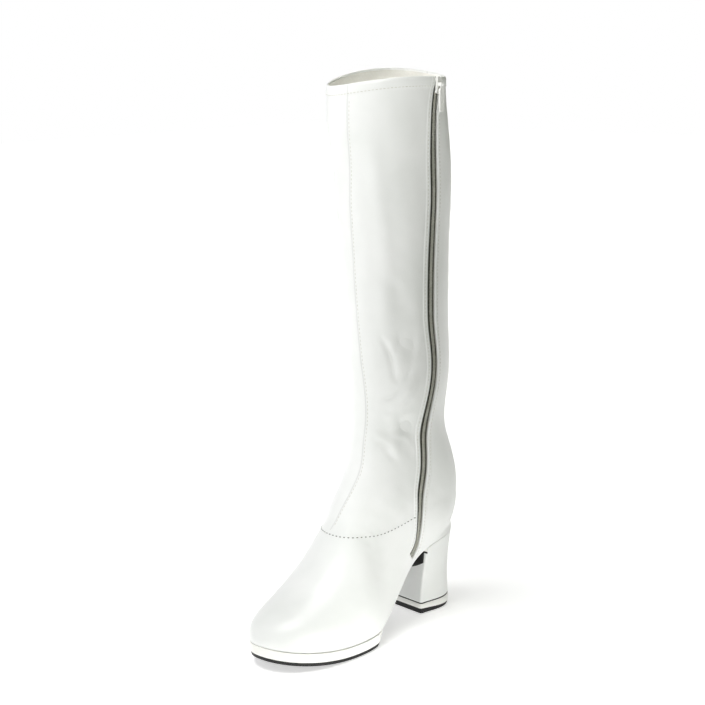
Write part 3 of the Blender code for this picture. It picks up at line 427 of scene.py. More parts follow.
def vertex_normals(points, faces):
    """Unit normals of the points, each the sum of its faces' area normals."""
    normals = np.zeros_like(points)
    corners = points[faces]
    area = np.cross(corners[:, 2] - corners[:, 0], corners[:, 3] - corners[:, 1])
    for k in range(4):
        np.add.at(normals, faces[:, k], area)
    return normals / np.maximum(np.linalg.norm(normals, axis=1, keepdims=True), 1e-12)


class Surface:
    """The upper's smooth outer surface: rows from the toe to the collar, columns from the inner
    feather edge or back line over the zip and the ridge to the outer one.

    Between the sections the rows follow a natural spline over the mean distance of the rows.
    """

    def __init__(self):
        rows = section_rows()
        count = len(rows["place"])
        sections = [section_columns({name: float(rows[name][i]) for name in rows}) for i in range(count)]
        coarse = np.array(sections)
        coarse[..., :3] = collar_wave(eased(coarse[..., :3], rows["place"]))
        steps = np.linalg.norm(np.diff(coarse[..., :3], axis=0), axis=2).mean(axis=1)
        length = np.concatenate([[0.0], np.cumsum(steps)])
        heel = int(np.flatnonzero(rows["base_y"] >= HEEL_REAR - 1e-6)[0])
        low = np.linspace(0.0, length[heel], int(length[heel] / ROW_SPACING) + 1)
        high = np.linspace(length[heel], length[-1], int((length[-1] - length[heel]) / ROW_SPACING) + 1)
        at = np.concatenate([low, high[1:]])
        grid = spline(length, coarse, at)
        self.place = np.interp(at, length, rows["place"])
        self.length = at
        self.heel = len(low) - 1
        closed = np.arange(len(at)) >= self.heel
        grid[closed, -1, :3] = grid[closed, 0, :3] = (grid[closed, 0, :3] + grid[closed, -1, :3]) / 2
        self.points = grid[..., :3]
        self.points[0] = self.points[0].mean(axis=0)
        self.from_ridge = grid[..., 3]
        self.from_zip = grid[..., 4]
        ids = np.arange(self.points[..., 0].size).reshape(self.points.shape[:2])
        ids[0, :] = ids[0, 0]
        ids[closed, -1] = ids[closed, 0]
        self.quads = grid_quads(ids)
        self.normals = vertex_normals(self.points.reshape(-1, 3), self.quads.reshape(-1, 4))[ids]
        self.zip_column = BACK_COLUMNS + len(ZIP_SIDE)
        self.ridge_column = BACK_COLUMNS + len(ZIP_OFFSETS) + FRONT_COLUMNS - 1
        self.slot_rows = (self.points[:, self.zip_column, 2] > ZIP_FOOT) & (self.place > ZIP_ROWS_FULL)

    def skin(self, height):
        """The surface moved outwards along its normals by one height or a height for each point."""
        return self.points + self.normals * np.broadcast_to(height, self.points.shape[:2])[..., None]


# Seams, folds and creases of the upper

# Seam down the front of the shaft and over the instep: at each height of the ridge, how far
# outwards of it the seam lies
FRONT_SEAM = (
    (84.0, 12.0),
    (98.0, 5.4),
    (116.0, 0.5),
    (142.0, -4.2),
    (176.0, -4.2),
    (207.0, -4.2),
    (235.0, -2.0),
    (264.0, 0.5),
    (315.0, 3.4),
    (359.0, 2.6),
    (447.0, -5.0),
    (482.0, -6.0),
)
# Seam between the vamp and the shaft's panels (y, z)
VAMP_SEAM = (
    (-115.0, 95.6),
    (-101.0, 95.6),
    (-90.0, 94.6),
    (-76.0, 95.1),
    (-58.0, 98.3),
    (-43.0, 101.5),
    (-20.0, 104.0),
    (10.0, 106.0),
    (40.0, 106.0),
)
VAMP_STEP = 0.32
VAMP_STEP_FADE = 10.0
SEAM_DEPTH = 0.45
SEAM_HALF = 1.1
HEM_RISE = 0.4
FACING_RISE = 0.35
FACING_FOLD = 1.2
FOLD_DEPTH = 0.75
STITCH_TROUGH = 0.14
RIM_ROUND = 1.6
RIM_DEPTH = 0.8
LASTED_EDGE = 2.0
LASTED_TURN = 0.35
WAVY_SIZE = 60.0
WAVY_HEIGHT = 0.35
DIMPLE_SIZE = 18.0
DIMPLE_HEIGHT = 0.12

# Soft creases of the shaft: two ends as (distance from the ridge, length along the boot), half
# width, depth below or height above the surface. Inwards of the ridge is negative.
CREASES = (
    (-22.0, 379.0, -31.5, 342.0, 3.8, -1.2),
    (-29.0, 380.0, -38.0, 350.0, 7.5, 0.6),
    (-47.0, 350.0, -22.0, 319.0, 3.8, -1.2),
    (-50.0, 339.0, -28.0, 310.0, 6.5, 0.8),
    (-16.0, 268.0, -34.0, 248.0, 7.0, -0.35),
    (-14.0, 279.0, -42.0, 255.0, 8.0, 0.4),
    (-34.0, 278.0, -54.0, 260.0, 7.0, -0.3),
    (-34.0, 294.0, -58.0, 284.0, 16.0, -1.5),
    (-34.0, 374.0, -52.0, 369.0, 18.0, -1.3),
    (-24.0, 545.0, -25.0, 384.0, 11.0, 1.0),
    (-42.0, 338.0, -26.0, 300.0, 7.0, 0.9),
    (-25.0, 306.0, -33.0, 258.0, 9.0, 0.7),
    (14.0, 270.0, 58.0, 262.0, 9.0, -0.9),
    (12.0, 290.0, 54.0, 284.0, 9.0, 0.8),
    (18.0, 330.0, 50.0, 318.0, 10.0, 0.6),
    (30.0, 350.0, 12.0, 322.0, 7.0, -0.8),
    (70.0, 250.0, 104.0, 244.0, 9.0, -0.9),
    (66.0, 268.0, 100.0, 264.0, 9.0, 0.7),
    (60.0, 410.0, 100.0, 396.0, 14.0, -0.8),
    (-20.0, 440.0, -44.0, 395.0, 12.0, -0.7),
    (-16.0, 136.0, -40.0, 148.0, 8.0, -0.5),
    (10.0, 140.0, 38.0, 152.0, 8.0, -0.5),
)


def uneven(points, size, seed):
    """Soft unevenness between -1 and 1: the mean of eight sine waves in random directions."""
    draw = np.random.default_rng(seed)
    wave = np.zeros(points.shape[:-1])
    for _ in range(8):
        direction = draw.normal(size=3)
        direction *= 2 * math.pi / (size * draw.uniform(0.7, 1.4) * np.linalg.norm(direction))
        wave += np.sin(points @ direction + draw.uniform(0, 2 * math.pi))
    return wave / 4


def crease_height(surface):
    """Soft troughs and ridges along the segments of CREASES, each fading at its ends."""
    total = np.zeros(surface.from_ridge.shape)
    place = np.stack([surface.from_ridge, np.broadcast_to(surface.length[:, None], total.shape)], axis=-1)
    for *ends, half_width, height in CREASES:
        start = np.array(ends[:2])
        run = np.array(ends[2:]) - start
        length = np.linalg.norm(run)
        share = (place - start) @ run / length**2
        across = (place - start) @ np.array([-run[1], run[0]]) / length
        # A slight bend keeps the crease from being a ruled line
        across = across + 2.5 * np.sin(math.pi * np.clip(share, 0.0, 1.0))
        fade = smooth_step(share * 3 + 0.5) * smooth_step((1 - share) * 3 + 0.5)
        total += height * bump(across, half_width) * fade
    return total


def front_seam_distance(surface):
    """Distance across the surface from the front seam."""
    ridge_z = surface.points[:, surface.ridge_column, 2]
    return surface.from_ridge - spline(*np.transpose(FRONT_SEAM), ridge_z)[:, None]


def vamp_seam_distance(surface):
    """Height above the vamp seam, which is nearly level."""
    y = np.clip(surface.points[..., 1], VAMP_SEAM[0][0], VAMP_SEAM[-1][0])
    return surface.points[..., 2] - spline(*np.transpose(VAMP_SEAM), y)


def edge_distance(surface):
    """Distance from the nearer end of each row."""
    inner = np.linalg.norm(surface.points - surface.points[:, :1], axis=2)
    return np.minimum(inner, np.linalg.norm(surface.points - surface.points[:, -1:], axis=2))


def back_seam_distance(surface):
    """Distance from the back line, where the rows are closed rings, and far away below."""
    closed = (np.arange(len(surface.length)) >= surface.heel)[:, None]
    return np.where(closed, edge_distance(surface), FAR_AWAY)


def collar_distance(surface):
    """Distance below the collar edge, along the boot."""
    return surface.length[-1] - surface.length[:, None] + np.zeros(surface.from_ridge.shape)


def leather_height(surface):
    """Height of the leather's surface over the last: creases, seams, hem, facings, rims."""
    height = crease_height(surface)
    on_shaft = smooth_step((surface.length[:, None] - 110.0) / 80.0)
    height += WAVY_HEIGHT * uneven(surface.points, WAVY_SIZE, 3) * on_shaft
    height += DIMPLE_HEIGHT * uneven(surface.points, DIMPLE_SIZE, 5)
    near_zip = np.abs(surface.from_zip)
    # The shaft pulls in a little beside the zip, as sewn leather does
    height *= smooth_step((near_zip - 6.0) / 14.0)
    vamp = vamp_seam_distance(surface)
    reach = (surface.place > 4.0)[:, None] & (near_zip > 5.2)
    step = VAMP_STEP * (smooth_step(0.5 - vamp / 1.2) - 1) * smooth_step(1 - (vamp - 4) / VAMP_STEP_FADE)
    height += np.where(reach, step, 0.0)
    below_collar = collar_distance(surface)
    height += HEM_RISE * (1 - smooth_step((below_collar - HEM_HEIGHT) / 0.8 + 0.5))
    rounded = np.clip(1 - below_collar / RIM_ROUND, 0.0, 1.0)
    height -= RIM_DEPTH * (1 - np.sqrt(1 - rounded**2))
    facing = FACING_RISE * (1 - smooth_step((near_zip - SLOT_HALF - FACING) / 0.7 + 0.5))
    fold = np.clip(1 - (near_zip - SLOT_HALF) / FACING_FOLD, 0.0, 1.0)
    facing -= FOLD_DEPTH * (1 - np.sqrt(1 - fold**2))
    facing -= STITCH_TROUGH * bump(near_zip - FACING_STITCH, 0.8)
    height += np.where(surface.slot_rows[:, None], facing, 0.0)
    # The lasted edge turns in where the upper meets the sole
    turned = np.clip(1 - edge_distance(surface) / LASTED_EDGE, 0.0, 1.0) ** 2
    open_rows = (np.arange(len(turned)) < surface.heel)[:, None]
    return height - LASTED_TURN * np.where(open_rows, turned, 0.0)


def grid_quads(ids):
    """Four-cornered faces of a grid of point numbers."""
    return np.stack([ids[:-1, :-1], ids[1:, :-1], ids[1:, 1:], ids[:-1, 1:]], axis=-1)


def sheet(front, back):
    """Points and faces of a closed sheet between two grids of points, with its four edges."""
    rows, count = front.shape[:2]
    ids = np.arange(rows * count).reshape(rows, count)
    faces = grid_quads(ids).reshape(-1, 4)
    around = np.concatenate([ids[0, :], ids[1:, -1], ids[-1, -2::-1], ids[-2:0:-1, 0]])
    after = np.roll(around, -1)
    shift = rows * count
    sides = np.column_stack([around, after, after + shift, around + shift])
    points = np.concatenate([front.reshape(-1, 3), back.reshape(-1, 3)])
    return points, np.concatenate([faces, faces[:, ::-1] + shift, sides])


def shell(surface, outer, inner, rows=slice(None)):
    """Points and faces of a closed wall between two skins over the rows kept, with its rims and
    the zip's slot left open."""
    kept = np.zeros(surface.quads.shape[:2], bool)
    kept[rows] = True
    half = int(np.sum(np.array(ZIP_SIDE) <= SLOT_HALF))
    open_rows = surface.slot_rows[:-1] & surface.slot_rows[1:]
    kept[open_rows, surface.zip_column - half : surface.zip_column + half] = False
    quads = surface.quads[kept]
    shift = outer.shape[0] * outer.shape[1]
    edges = np.concatenate([quads[:, [k, (k + 1) % 4]] for k in range(4)])
    edges = edges[edges[:, 0] != edges[:, 1]]
    code = edges[:, 0] * shift + edges[:, 1]
    twin = edges[:, 1] * shift + edges[:, 0]
    rim = edges[~np.isin(code, twin)]
    sides = np.column_stack([rim[:, 1], rim[:, 0], rim[:, 0] + shift, rim[:, 1] + shift])
    faces = np.concatenate([quads, quads[:, ::-1] + shift, sides])
    return np.concatenate([outer.reshape(-1, 3), inner.reshape(-1, 3)]), faces


# Soles and heel


def inset_pairs(inner, outer, inset):
    """Both sides of a plan moved inwards by inset, one number or one for each station."""
    loop = np.concatenate([inner, outer[::-1]])
    step = np.roll(loop, -1, axis=0) - np.roll(loop, 1, axis=0)
    inward = np.stack([-step[:, 1], step[:, 0]], axis=1)
    inward /= np.maximum(np.linalg.norm(inward, axis=1, keepdims=True), 1e-9)
    amount = np.broadcast_to(np.asarray(inset, float), (len(inner),))
    moved = loop + inward * np.concatenate([amount, amount[::-1]])[:, None]
    return moved[: len(inner)], moved[len(inner) :][::-1]


def slab(levels):
    """Points and faces of a closed slab from levels (inner, outer, height at y), top first."""
    count = len(levels[0][0])
    size = 2 * count
    rings = []
    for inner, outer, height in levels:
        plan = np.concatenate([inner, outer[::-1]])
        rings.append(np.column_stack([plan, height(plan[:, 1])]))
    ring = np.arange(size)
    start = (np.arange(len(levels) - 1) * size)[:, None]
    after = np.roll(ring, -1)
    sides = np.stack([ring + start, ring + start + size, after + start + size, after + start], axis=-1)
    k = np.arange(count - 1)
    cap = np.stack([k, k + 1, size - 2 - k, size - 1 - k], axis=-1)
    low = cap[:, ::-1] + (len(levels) - 1) * size
    return np.concatenate(rings), np.concatenate([sides.reshape(-1, 4), cap, low])


# The black outsole is drawn thicker than the real one so that its black also stands for the shadow under the
# raised toe: part real rubber, part painted shadow
EDGE_THICK = 8.4
OUTSOLE_THICK = SOLE_STACK - EDGE_THICK - 2 * GAP
WAIST_EDGE_THICK = 2.6
WAIST_OUTSOLE_THICK = 1.6
THIN_FROM = -106.0
THIN_TO = -82.0
SOLE_END = -19.0
OUTSOLE_INSET = 1.2
WAIST_TUCK = 4.5
INSOLE_CLEAR = 1.0
TREAD_PITCH = 3.0


def sole_pairs(stations, inset):
    """The sole's plan moved in by inset, and tucked in below the arch, up to the heel's breast."""
    tuck = WAIST_TUCK * smooth_step((stations - THIN_FROM) / (THIN_TO - THIN_FROM))
    inner, outer = inset_pairs(*plan_sides(stations), tuck + inset)
    inner[-1, 1] = outer[-1, 1] = SOLE_END
    return inner, outer


def thinning(y, thick, thin):
    """A thickness that eases from thick under the ball to thin under the arch."""
    return thick + (thin - thick) * smooth_step((y - THIN_FROM) / (THIN_TO - THIN_FROM))


def sole_stations():
    """Places along the sole: close at the toe by the cosine of an angle, then even."""
    front = TOE_TIP + NOSE_LENGTH * (1 - np.cos(np.linspace(0.03, 1.0, 36) * math.pi / 2))
    return np.concatenate([front, np.linspace(front[-1], SOLE_END, 150)[1:]])


def edge_height(y, drop):
    """Height in the sole edge, drop 0 at its top and 1 at its underside."""
    return feather_height(y) - GAP - drop * thinning(y, EDGE_THICK, WAIST_EDGE_THICK)


def tread_height(y, drop):
    """Height in the outsole, drop 0 at its top and 1 at its underside, flat under the ball."""
    top = edge_height(y, 1.0) - GAP
    bottom = np.maximum(top - thinning(y, OUTSOLE_THICK, WAIST_OUTSOLE_THICK), 0.0)
    bottom = np.where((y > BALL_FLAT_FRONT) & (y < BALL_FLAT_REAR), 0.0, bottom)
    return top + drop * (bottom - top)


def sole_edge_shape():
    """The sole edge band: rounded over at its top, upright, and rolled under at its foot."""
    stations = sole_stations()
    angle = np.linspace(0.0, math.pi / 2, 6)
    top = [(0.6 - 0.6 * math.sin(a), 0.08 * (1 - math.cos(a))) for a in angle]
    foot = [(1.0 - 1.0 * math.cos(a), 0.80 + 0.20 * math.sin(a)) for a in angle]
    steps = top + [(0.0, 0.35), (0.0, 0.55)] + foot
    return slab([(*sole_pairs(stations, inset), partial(edge_height, drop=drop)) for inset, drop in steps])


def outsole_shape():
    """The outsole, with its lower edge rounded."""
    stations = sole_stations()
    steps = ((0.0, 0.0), (0.0, 0.4), (0.06, 0.65), (0.22, 0.88), (0.6, 1.0))
    pairs = [sole_pairs(stations, OUTSOLE_INSET + inset) for inset, _ in steps]
    return slab([(*pair, partial(tread_height, drop=drop)) for pair, (_, drop) in zip(pairs, steps)])


def insole_shape():
    """The insole inside the upper, with a softly rounded top edge."""
    front = TOE_TIP + NOSE_LENGTH * (1 - np.cos(np.linspace(0.1, 1.0, 24) * math.pi / 2))
    rear = HEEL_REAR - (HEEL_REAR - SEAT_WIDEST_Y) * (1 - np.sin(np.linspace(0.0, 0.96, 24) * math.pi / 2))
    stations = np.concatenate([front, np.linspace(front[-1], SEAT_WIDEST_Y, 120)[1:-1], rear])
    levels = []
    for inset, rise in ((1.0, 2.0), (0.3, 1.8), (0.0, 1.3), (0.0, 0.0)):
        pair = inset_pairs(*plan_sides(stations), EDGE_STEP + WALL + INSOLE_CLEAR + inset)
        levels.append((*pair, lambda y, rise=rise: feather_height(y) + rise))
    return slab(levels)


HEEL_TOP_BREAST = -18.0
HEEL_BASE_BREAST = -23.0
HEEL_BASE_REAR = 26.0
HEEL_BASE_HALF = 27.6
HEEL_WAIST_IN = 1.2
HEEL_DRAW = 1.6
HEEL_CORNER = 2.6
HEEL_TURN = math.radians(4.0)
HEEL_WIDEST = 0.45
HEEL_BREAST_SHARE = 0.93
BAND_TOP = 9.4
HEEL_LINE = 1.0
LAYER_GAP = 0.1
# The top lift is a wedge much thicker at the breast than at the rear: part real black rubber, part painted
# shadow standing for the contact shade under the breast
TOP_PIECE_BREAST = 4.8
TOP_PIECE_REAR = 1.4
FLAP_DEEP = 17.0
FLAP_THICK = 1.1
FLAP_ARC = 0.45
FLAP_SIDE = 1.2
FLAP_RIM = 0.12


def heel_shares():
    """Places along the heel's length, close at the breast's corners and at the rear."""
    corner = HEEL_CORNER / (HEEL_BASE_REAR - HEEL_BASE_BREAST)
    front = corner * (1 - np.cos(np.linspace(0.0, 1.0, 9) * math.pi / 2))
    back = HEEL_WIDEST + (1 - HEEL_WIDEST) * np.sin(np.linspace(0.0, 0.975, 34) * math.pi / 2)
    return np.concatenate([front, np.linspace(front[-1], HEEL_WIDEST, 16)[1:-1], back])


def corner_cut(distance):
    """How far a rounded breast corner stands in, by the distance from the breast."""
    corner = np.clip(HEEL_CORNER - distance, 0.0, HEEL_CORNER)
    return HEEL_CORNER - np.sqrt(HEEL_CORNER**2 - corner**2)


def heel_base_pairs():
    """Ground plan of the heel as pairs, turned a little outwards in front."""
    share = heel_shares()
    run = share * (HEEL_BASE_REAR - HEEL_BASE_BREAST)
    side = HEEL_BASE_HALF * (HEEL_BREAST_SHARE + (1 - HEEL_BREAST_SHARE) * smooth_step(share / HEEL_WIDEST))
    back = np.clip((share - HEEL_WIDEST) / (1 - HEEL_WIDEST), 0.0, 1.0)
    half = side * (1 - back**SEAT_SQUARENESS) ** (1 / SEAT_SQUARENESS) - corner_cut(run)
    y = HEEL_BASE_BREAST + run
    pairs = []
    for x in (half, -half):
        across = x * math.cos(HEEL_TURN) + y * math.sin(HEEL_TURN)
        pairs.append(np.stack([across, y * math.cos(HEEL_TURN) - x * math.sin(HEEL_TURN)], axis=1))
    return pairs


def heel_block_shape():
    """The covered heel block: its top follows the seat, its sides draw in and run straight down."""
    share = heel_shares()
    y = np.minimum(HEEL_TOP_BREAST + share * (HEEL_REAR + EDGE_STEP - HEEL_TOP_BREAST), HEEL_REAR)
    seat_inner, seat_outer = inset_pairs(*plan_sides(y), EDGE_STEP)
    seat_inner[:, 1] = seat_outer[:, 1] = y
    seat_inner[:, 0] -= corner_cut(y - y[0])
    seat_outer[:, 0] += corner_cut(y - y[0])
    base_inner, base_outer = heel_base_pairs()
    levels = []
    for part in np.concatenate([[0.0, 0.006], np.linspace(0.02, 0.985, 26), [0.995, 1.0]]):
        blend = 1 - (1 - part) ** HEEL_DRAW
        inner = seat_inner + (base_inner - seat_inner) * blend
        outer = seat_outer + (base_outer - seat_outer) * blend
        # Both rims of the cover turn in by half a millimetre
        rim = 0.5 * (max(0.0, 1 - part / 0.012) ** 2 + max(0.0, 1 - (1 - part) / 0.012) ** 2)
        inner, outer = inset_pairs(inner, outer, HEEL_WAIST_IN * math.sin(math.pi * part) + rim)

        def height(at, part=part):
            seat = feather_height(at) - GAP
            return seat + (BAND_TOP + HEEL_LINE - seat) * part

        levels.append((inner, outer, height))
    return slab(levels)


def breast_shadow_sheet_shape():
    """A thin sheet of black rubber over the top of the heel's breast, painted shadow that stands for the deep
    shade under the arch: it follows the breast, its lower edge an arc, its rim thinner than its middle."""
    across = np.linspace(-1.0, 1.0, 25)[None, :]
    down = np.linspace(0.0, 1.0, 13)[:, None]
    seat = float(feather_height(HEEL_TOP_BREAST)) - GAP
    start = WAIST_EDGE_THICK + WAIST_OUTSOLE_THICK + 0.8
    fall = start + (FLAP_DEEP * (1 - FLAP_ARC * across**2)) * down
    part = fall / (seat - BAND_TOP - HEEL_LINE)
    blend = 1 - (1 - part) ** HEEL_DRAW
    base_inner, base_outer = heel_base_pairs()
    clear = EDGE_STEP + HEEL_CORNER + FLAP_SIDE
    half, other = [float(plan_half_width(HEEL_TOP_BREAST, side)) - clear for side in ("inner", "outer")]
    x = np.where(across > 0, across * half, across * other) + np.zeros(part.shape)
    base_y = np.interp(x, (base_outer[0, 0], base_inner[0, 0]), (base_outer[0, 1], base_inner[0, 1]))
    y = HEEL_TOP_BREAST + (base_y - HEEL_TOP_BREAST) * blend + 0.2 * np.sin(math.pi * part)
    rim = np.clip(np.minimum(1 - np.abs(across), 1 - down) / FLAP_RIM, 0.0, 1.0)
    thick = FLAP_THICK * np.sqrt(rim * (2 - rim))
    z = seat - fall
    return sheet(np.stack([x, y - 0.25 - thick, z], axis=-1), np.stack([x, y + 0.6, z], axis=-1))


def heel_slice_shape(top_heights, bottom_heights, inset, rounding):
    """A layer at the heel's foot between two planes given at the breast and the rear."""
    ends = (HEEL_BASE_BREAST, HEEL_BASE_REAR)
    levels = []
    for turn in (*np.linspace(0.0, 0.5, 6), *np.linspace(0.5, 1.0, 6)):
        lean = math.pi * turn
        drop = turn if 0.1 < turn < 0.9 else round(turn)
        pair = inset_pairs(*heel_base_pairs(), inset + rounding * (1 - math.sin(lean) ** 0.5))

        def height(y, drop=drop):
            top = np.interp(y, ends, top_heights)
            return top + (np.interp(y, ends, bottom_heights) - top) * drop

        levels.append((*pair, height))
    return slab(levels)


# Zip

TAPE_HALF = 10.05
TAPE_THICK = 0.8
COIL_PITCH = 1.45
COIL_DEPTH = 0.85
COIL_HALF = 1.7
COIL_END = 14.0
CORE_DEPTH = 1.05
CORE_HALF = 1.35
CORE_SIDES = 12
CORE_END_ROWS = 7
ROD_SIDES = 6


def zip_frames(surface, depth):
    """Middle of the slot below the surface by depth with its unit directions along, across and out."""
    rows = np.flatnonzero(surface.slot_rows)
    line = surface.points[rows, surface.zip_column]
    out = surface.normals[rows, surface.zip_column]
    line = line - out * depth
    tangent = np.gradient(line, axis=0)
    tangent /= np.linalg.norm(tangent, axis=1, keepdims=True)
    across = np.cross(out, tangent)
    across /= np.linalg.norm(across, axis=1, keepdims=True)
    return line, tangent, across, np.cross(tangent, across)


def resample(line, fields, places):
    """Fields of a line read at lengths along it."""
    length = arc_length(line)
    return [along(field, length, places) for field in fields]


def tape_shape(surface):
    """The zip's tape behind the slot and the facings: a thin woven strip."""
    reach = int(np.sum(np.array(ZIP_SIDE) <= TAPE_HALF))
    span = slice(surface.zip_column - reach, surface.zip_column + reach + 1)
    skins = [surface.skin(-(WALL + GAP + deep)) for deep in (0.0, TAPE_THICK)]
    return sheet(*[skin[surface.slot_rows, span] for skin in skins])


def repeated(template, faces, places, axes):
    """Copies of a small template, its x, y, z laid along the three unit directions of each place."""
    first, second, third = axes
    points = (
        places[:, None]
        + template[None, :, :1] * first[:, None]
        + template[None, :, 1:2] * second[:, None]
        + template[None, :, 2:] * third[:, None]
    )
    shift = (np.arange(len(places)) * len(template))[:, None, None]
    return points.reshape(-1, 3), (faces[None] + shift).reshape(-1, faces.shape[1])


def rod_template(stations, radii, lifts):
    """A closed rod along x: rings at the stations with their radii and lifts along z."""
    sides = ROD_SIDES
    angle = np.arange(sides) * 2 * math.pi / sides
    rings = [
        np.column_stack([np.full(sides, x), r * np.cos(angle), lift + r * np.sin(angle)])
        for x, r, lift in zip(stations, radii, lifts)
    ]
    ring = np.arange(sides)
    after = np.roll(ring, -1)
    start = (np.arange(len(rings) - 1) * sides)[:, None]
    body = np.stack([ring + start, after + start, after + start + sides, ring + start + sides], axis=-1)
    low = np.column_stack([np.full(sides - 2, 0), ring[2:], ring[1:-1], ring[1:-1]])
    end = len(rings) * sides - sides
    high = np.column_stack([np.full(sides - 2, end), ring[1:-1] + end, ring[2:] + end, ring[2:] + end])
    return np.concatenate(rings), np.concatenate([body.reshape(-1, 4), low, high])


def coil_shape(surface):
    """The closed coil: a tooth every 1.45 mm across the slot, alternately longer to either side."""
    line, tangent, across, out = zip_frames(surface, COIL_DEPTH)
    length = arc_length(line)[-1]
    places = np.arange(1.0, length - COIL_END, COIL_PITCH)
    spot, step, side, lift = resample(line, (line, tangent, across, out), places)
    flip = np.where(np.arange(len(places)) % 2, 1.0, -1.0)[:, None]
    stations = (-COIL_HALF, -1.4, 0.0, 1.1, 1.4)
    template, faces = rod_template(stations, (0.3, 0.6, 0.64, 0.58, 0.25), (-0.1, 0.0, 0.1, 0.0, -0.1))
    return repeated(template, faces, spot, (side * flip, step * flip, lift))


def coil_core_shape(surface):
    """The cord the coil is wound on: a flat oval band along the middle, between the teeth."""
    line, _, across, out = zip_frames(surface, CORE_DEPTH)
    angle = np.arange(CORE_SIDES) * 2 * math.pi / CORE_SIDES
    keep = slice(0, len(line) - CORE_END_ROWS)
    ring = np.stack([CORE_HALF * np.cos(angle), 0.5 * np.sin(angle)], axis=1)
    points = line[keep, None] + ring[None, :, :1] * across[keep, None] + ring[None, :, 1:] * out[keep, None]
    count = len(points)
    ids = np.arange(count * CORE_SIDES).reshape(count, CORE_SIDES)
    after = np.roll(ids, -1, axis=1)
    body = np.stack([ids[:-1], ids[1:], after[1:], after[:-1]], axis=-1).reshape(-1, 4)
    near = np.arange(1, CORE_SIDES - 1)
    fan = np.column_stack([0 * near, near + 1, near, near])
    return points.reshape(-1, 3), np.concatenate([body, fan, fan[:, ::-1] + ids[-1, 0]])


def stitch_shape(line, out, pitch, length, radius, skip=0.0):
    """Stitches along a line on the leather: short bowed threads whose ends dip into it."""
    total = arc_length(line)[-1]
    places = np.arange(skip + pitch / 2, total - skip, pitch)
    tangent = np.gradient(line, axis=0)
    spot, step, lift = resample(line, (line, tangent, out), places)
    step /= np.linalg.norm(step, axis=1, keepdims=True)
    side = np.cross(lift, step)
    side /= np.linalg.norm(side, axis=1, keepdims=True)
    half = length / 2
    template, faces = rod_template(
        (-half, -0.6 * half, 0.0, 0.6 * half, half),
        (0.4 * radius, radius, radius, radius, 0.4 * radius),
        (-0.9 * radius, 0.1 * radius, 0.35 * radius, 0.1 * radius, -0.9 * radius),
    )
    return repeated(template, faces, spot, (step, side, np.cross(step, side)))


# Blender objects from the shapes


def linear(code):
    """An sRGB hex colour as linear numbers, opaque."""
    values = [int(code[k : k + 2], 16) / 255 for k in (1, 3, 5)]
    return (*[v / 12.92 if v <= 0.04045 else ((v + 0.055) / 1.055) ** 2.4 for v in values], 1.0)


def add(tree, kind, inputs=(), **settings):
    """A node with its settings; each input is a value or the output socket that feeds it."""
    node = tree.nodes.new(kind)
    for key, value in settings.items():
        setattr(node, key, value)
    for key, value in dict(inputs).items():
        if isinstance(value, bpy.types.NodeSocket):
            tree.links.new(value, node.inputs[key])
        else:
            node.inputs[key].default_value = value
    return node


def blank_material(name, **surface):
    """A material with a Principled shader whose sockets are set by their names."""
    material = bpy.data.materials.new(name)
    material.use_nodes = True
    tree = material.node_tree
    shader = tree.nodes["Principled BSDF"]
    for key, value in surface.items():
        shader.inputs[key.replace("_", " ")].default_value = value
    spots = add(tree, "ShaderNodeTexCoord").outputs["Object"]
    return material, tree, shader, spots


def tinted(tree, shader, spots, light, dark, size_mm, roughness=None):
    """Soft mottling between two colours, and in the roughness, over patches of size_mm."""
    noise = add(tree, "ShaderNodeTexNoise", {"Vector": spots, "Scale": 1000 / size_mm, "Detail": 3.0})
    share = add(tree, "ShaderNodeMapRange", {0: noise.outputs[0], 1: 0.35, 2: 0.65})
    colours = {0: share.outputs[0], 6: linear(light), 7: linear(dark)}
    mix = add(tree, "ShaderNodeMix", colours, data_type="RGBA")
    tree.links.new(mix.outputs[2], shader.inputs["Base Color"])
    if roughness:
        limits = {1: 0.3, 2: 0.7, 3: roughness[0], 4: roughness[1]}
        gloss = add(tree, "ShaderNodeMapRange", {0: noise.outputs[0], **limits})
        tree.links.new(gloss.outputs[0], shader.inputs["Roughness"])
    return mix


def raised(tree, shader, heights, distance_mm, strength):
    """Bumps of the given height maps, one after another, into the shader's normal."""
    normal = None
    for height, distance in zip(heights, distance_mm):
        inputs = {"Height": height, "Distance": distance * MM, "Strength": strength}
        if normal is not None:
            inputs["Normal"] = normal
        normal = add(tree, "ShaderNodeBump", inputs).outputs[0]
    tree.links.new(normal, shader.inputs["Normal"])


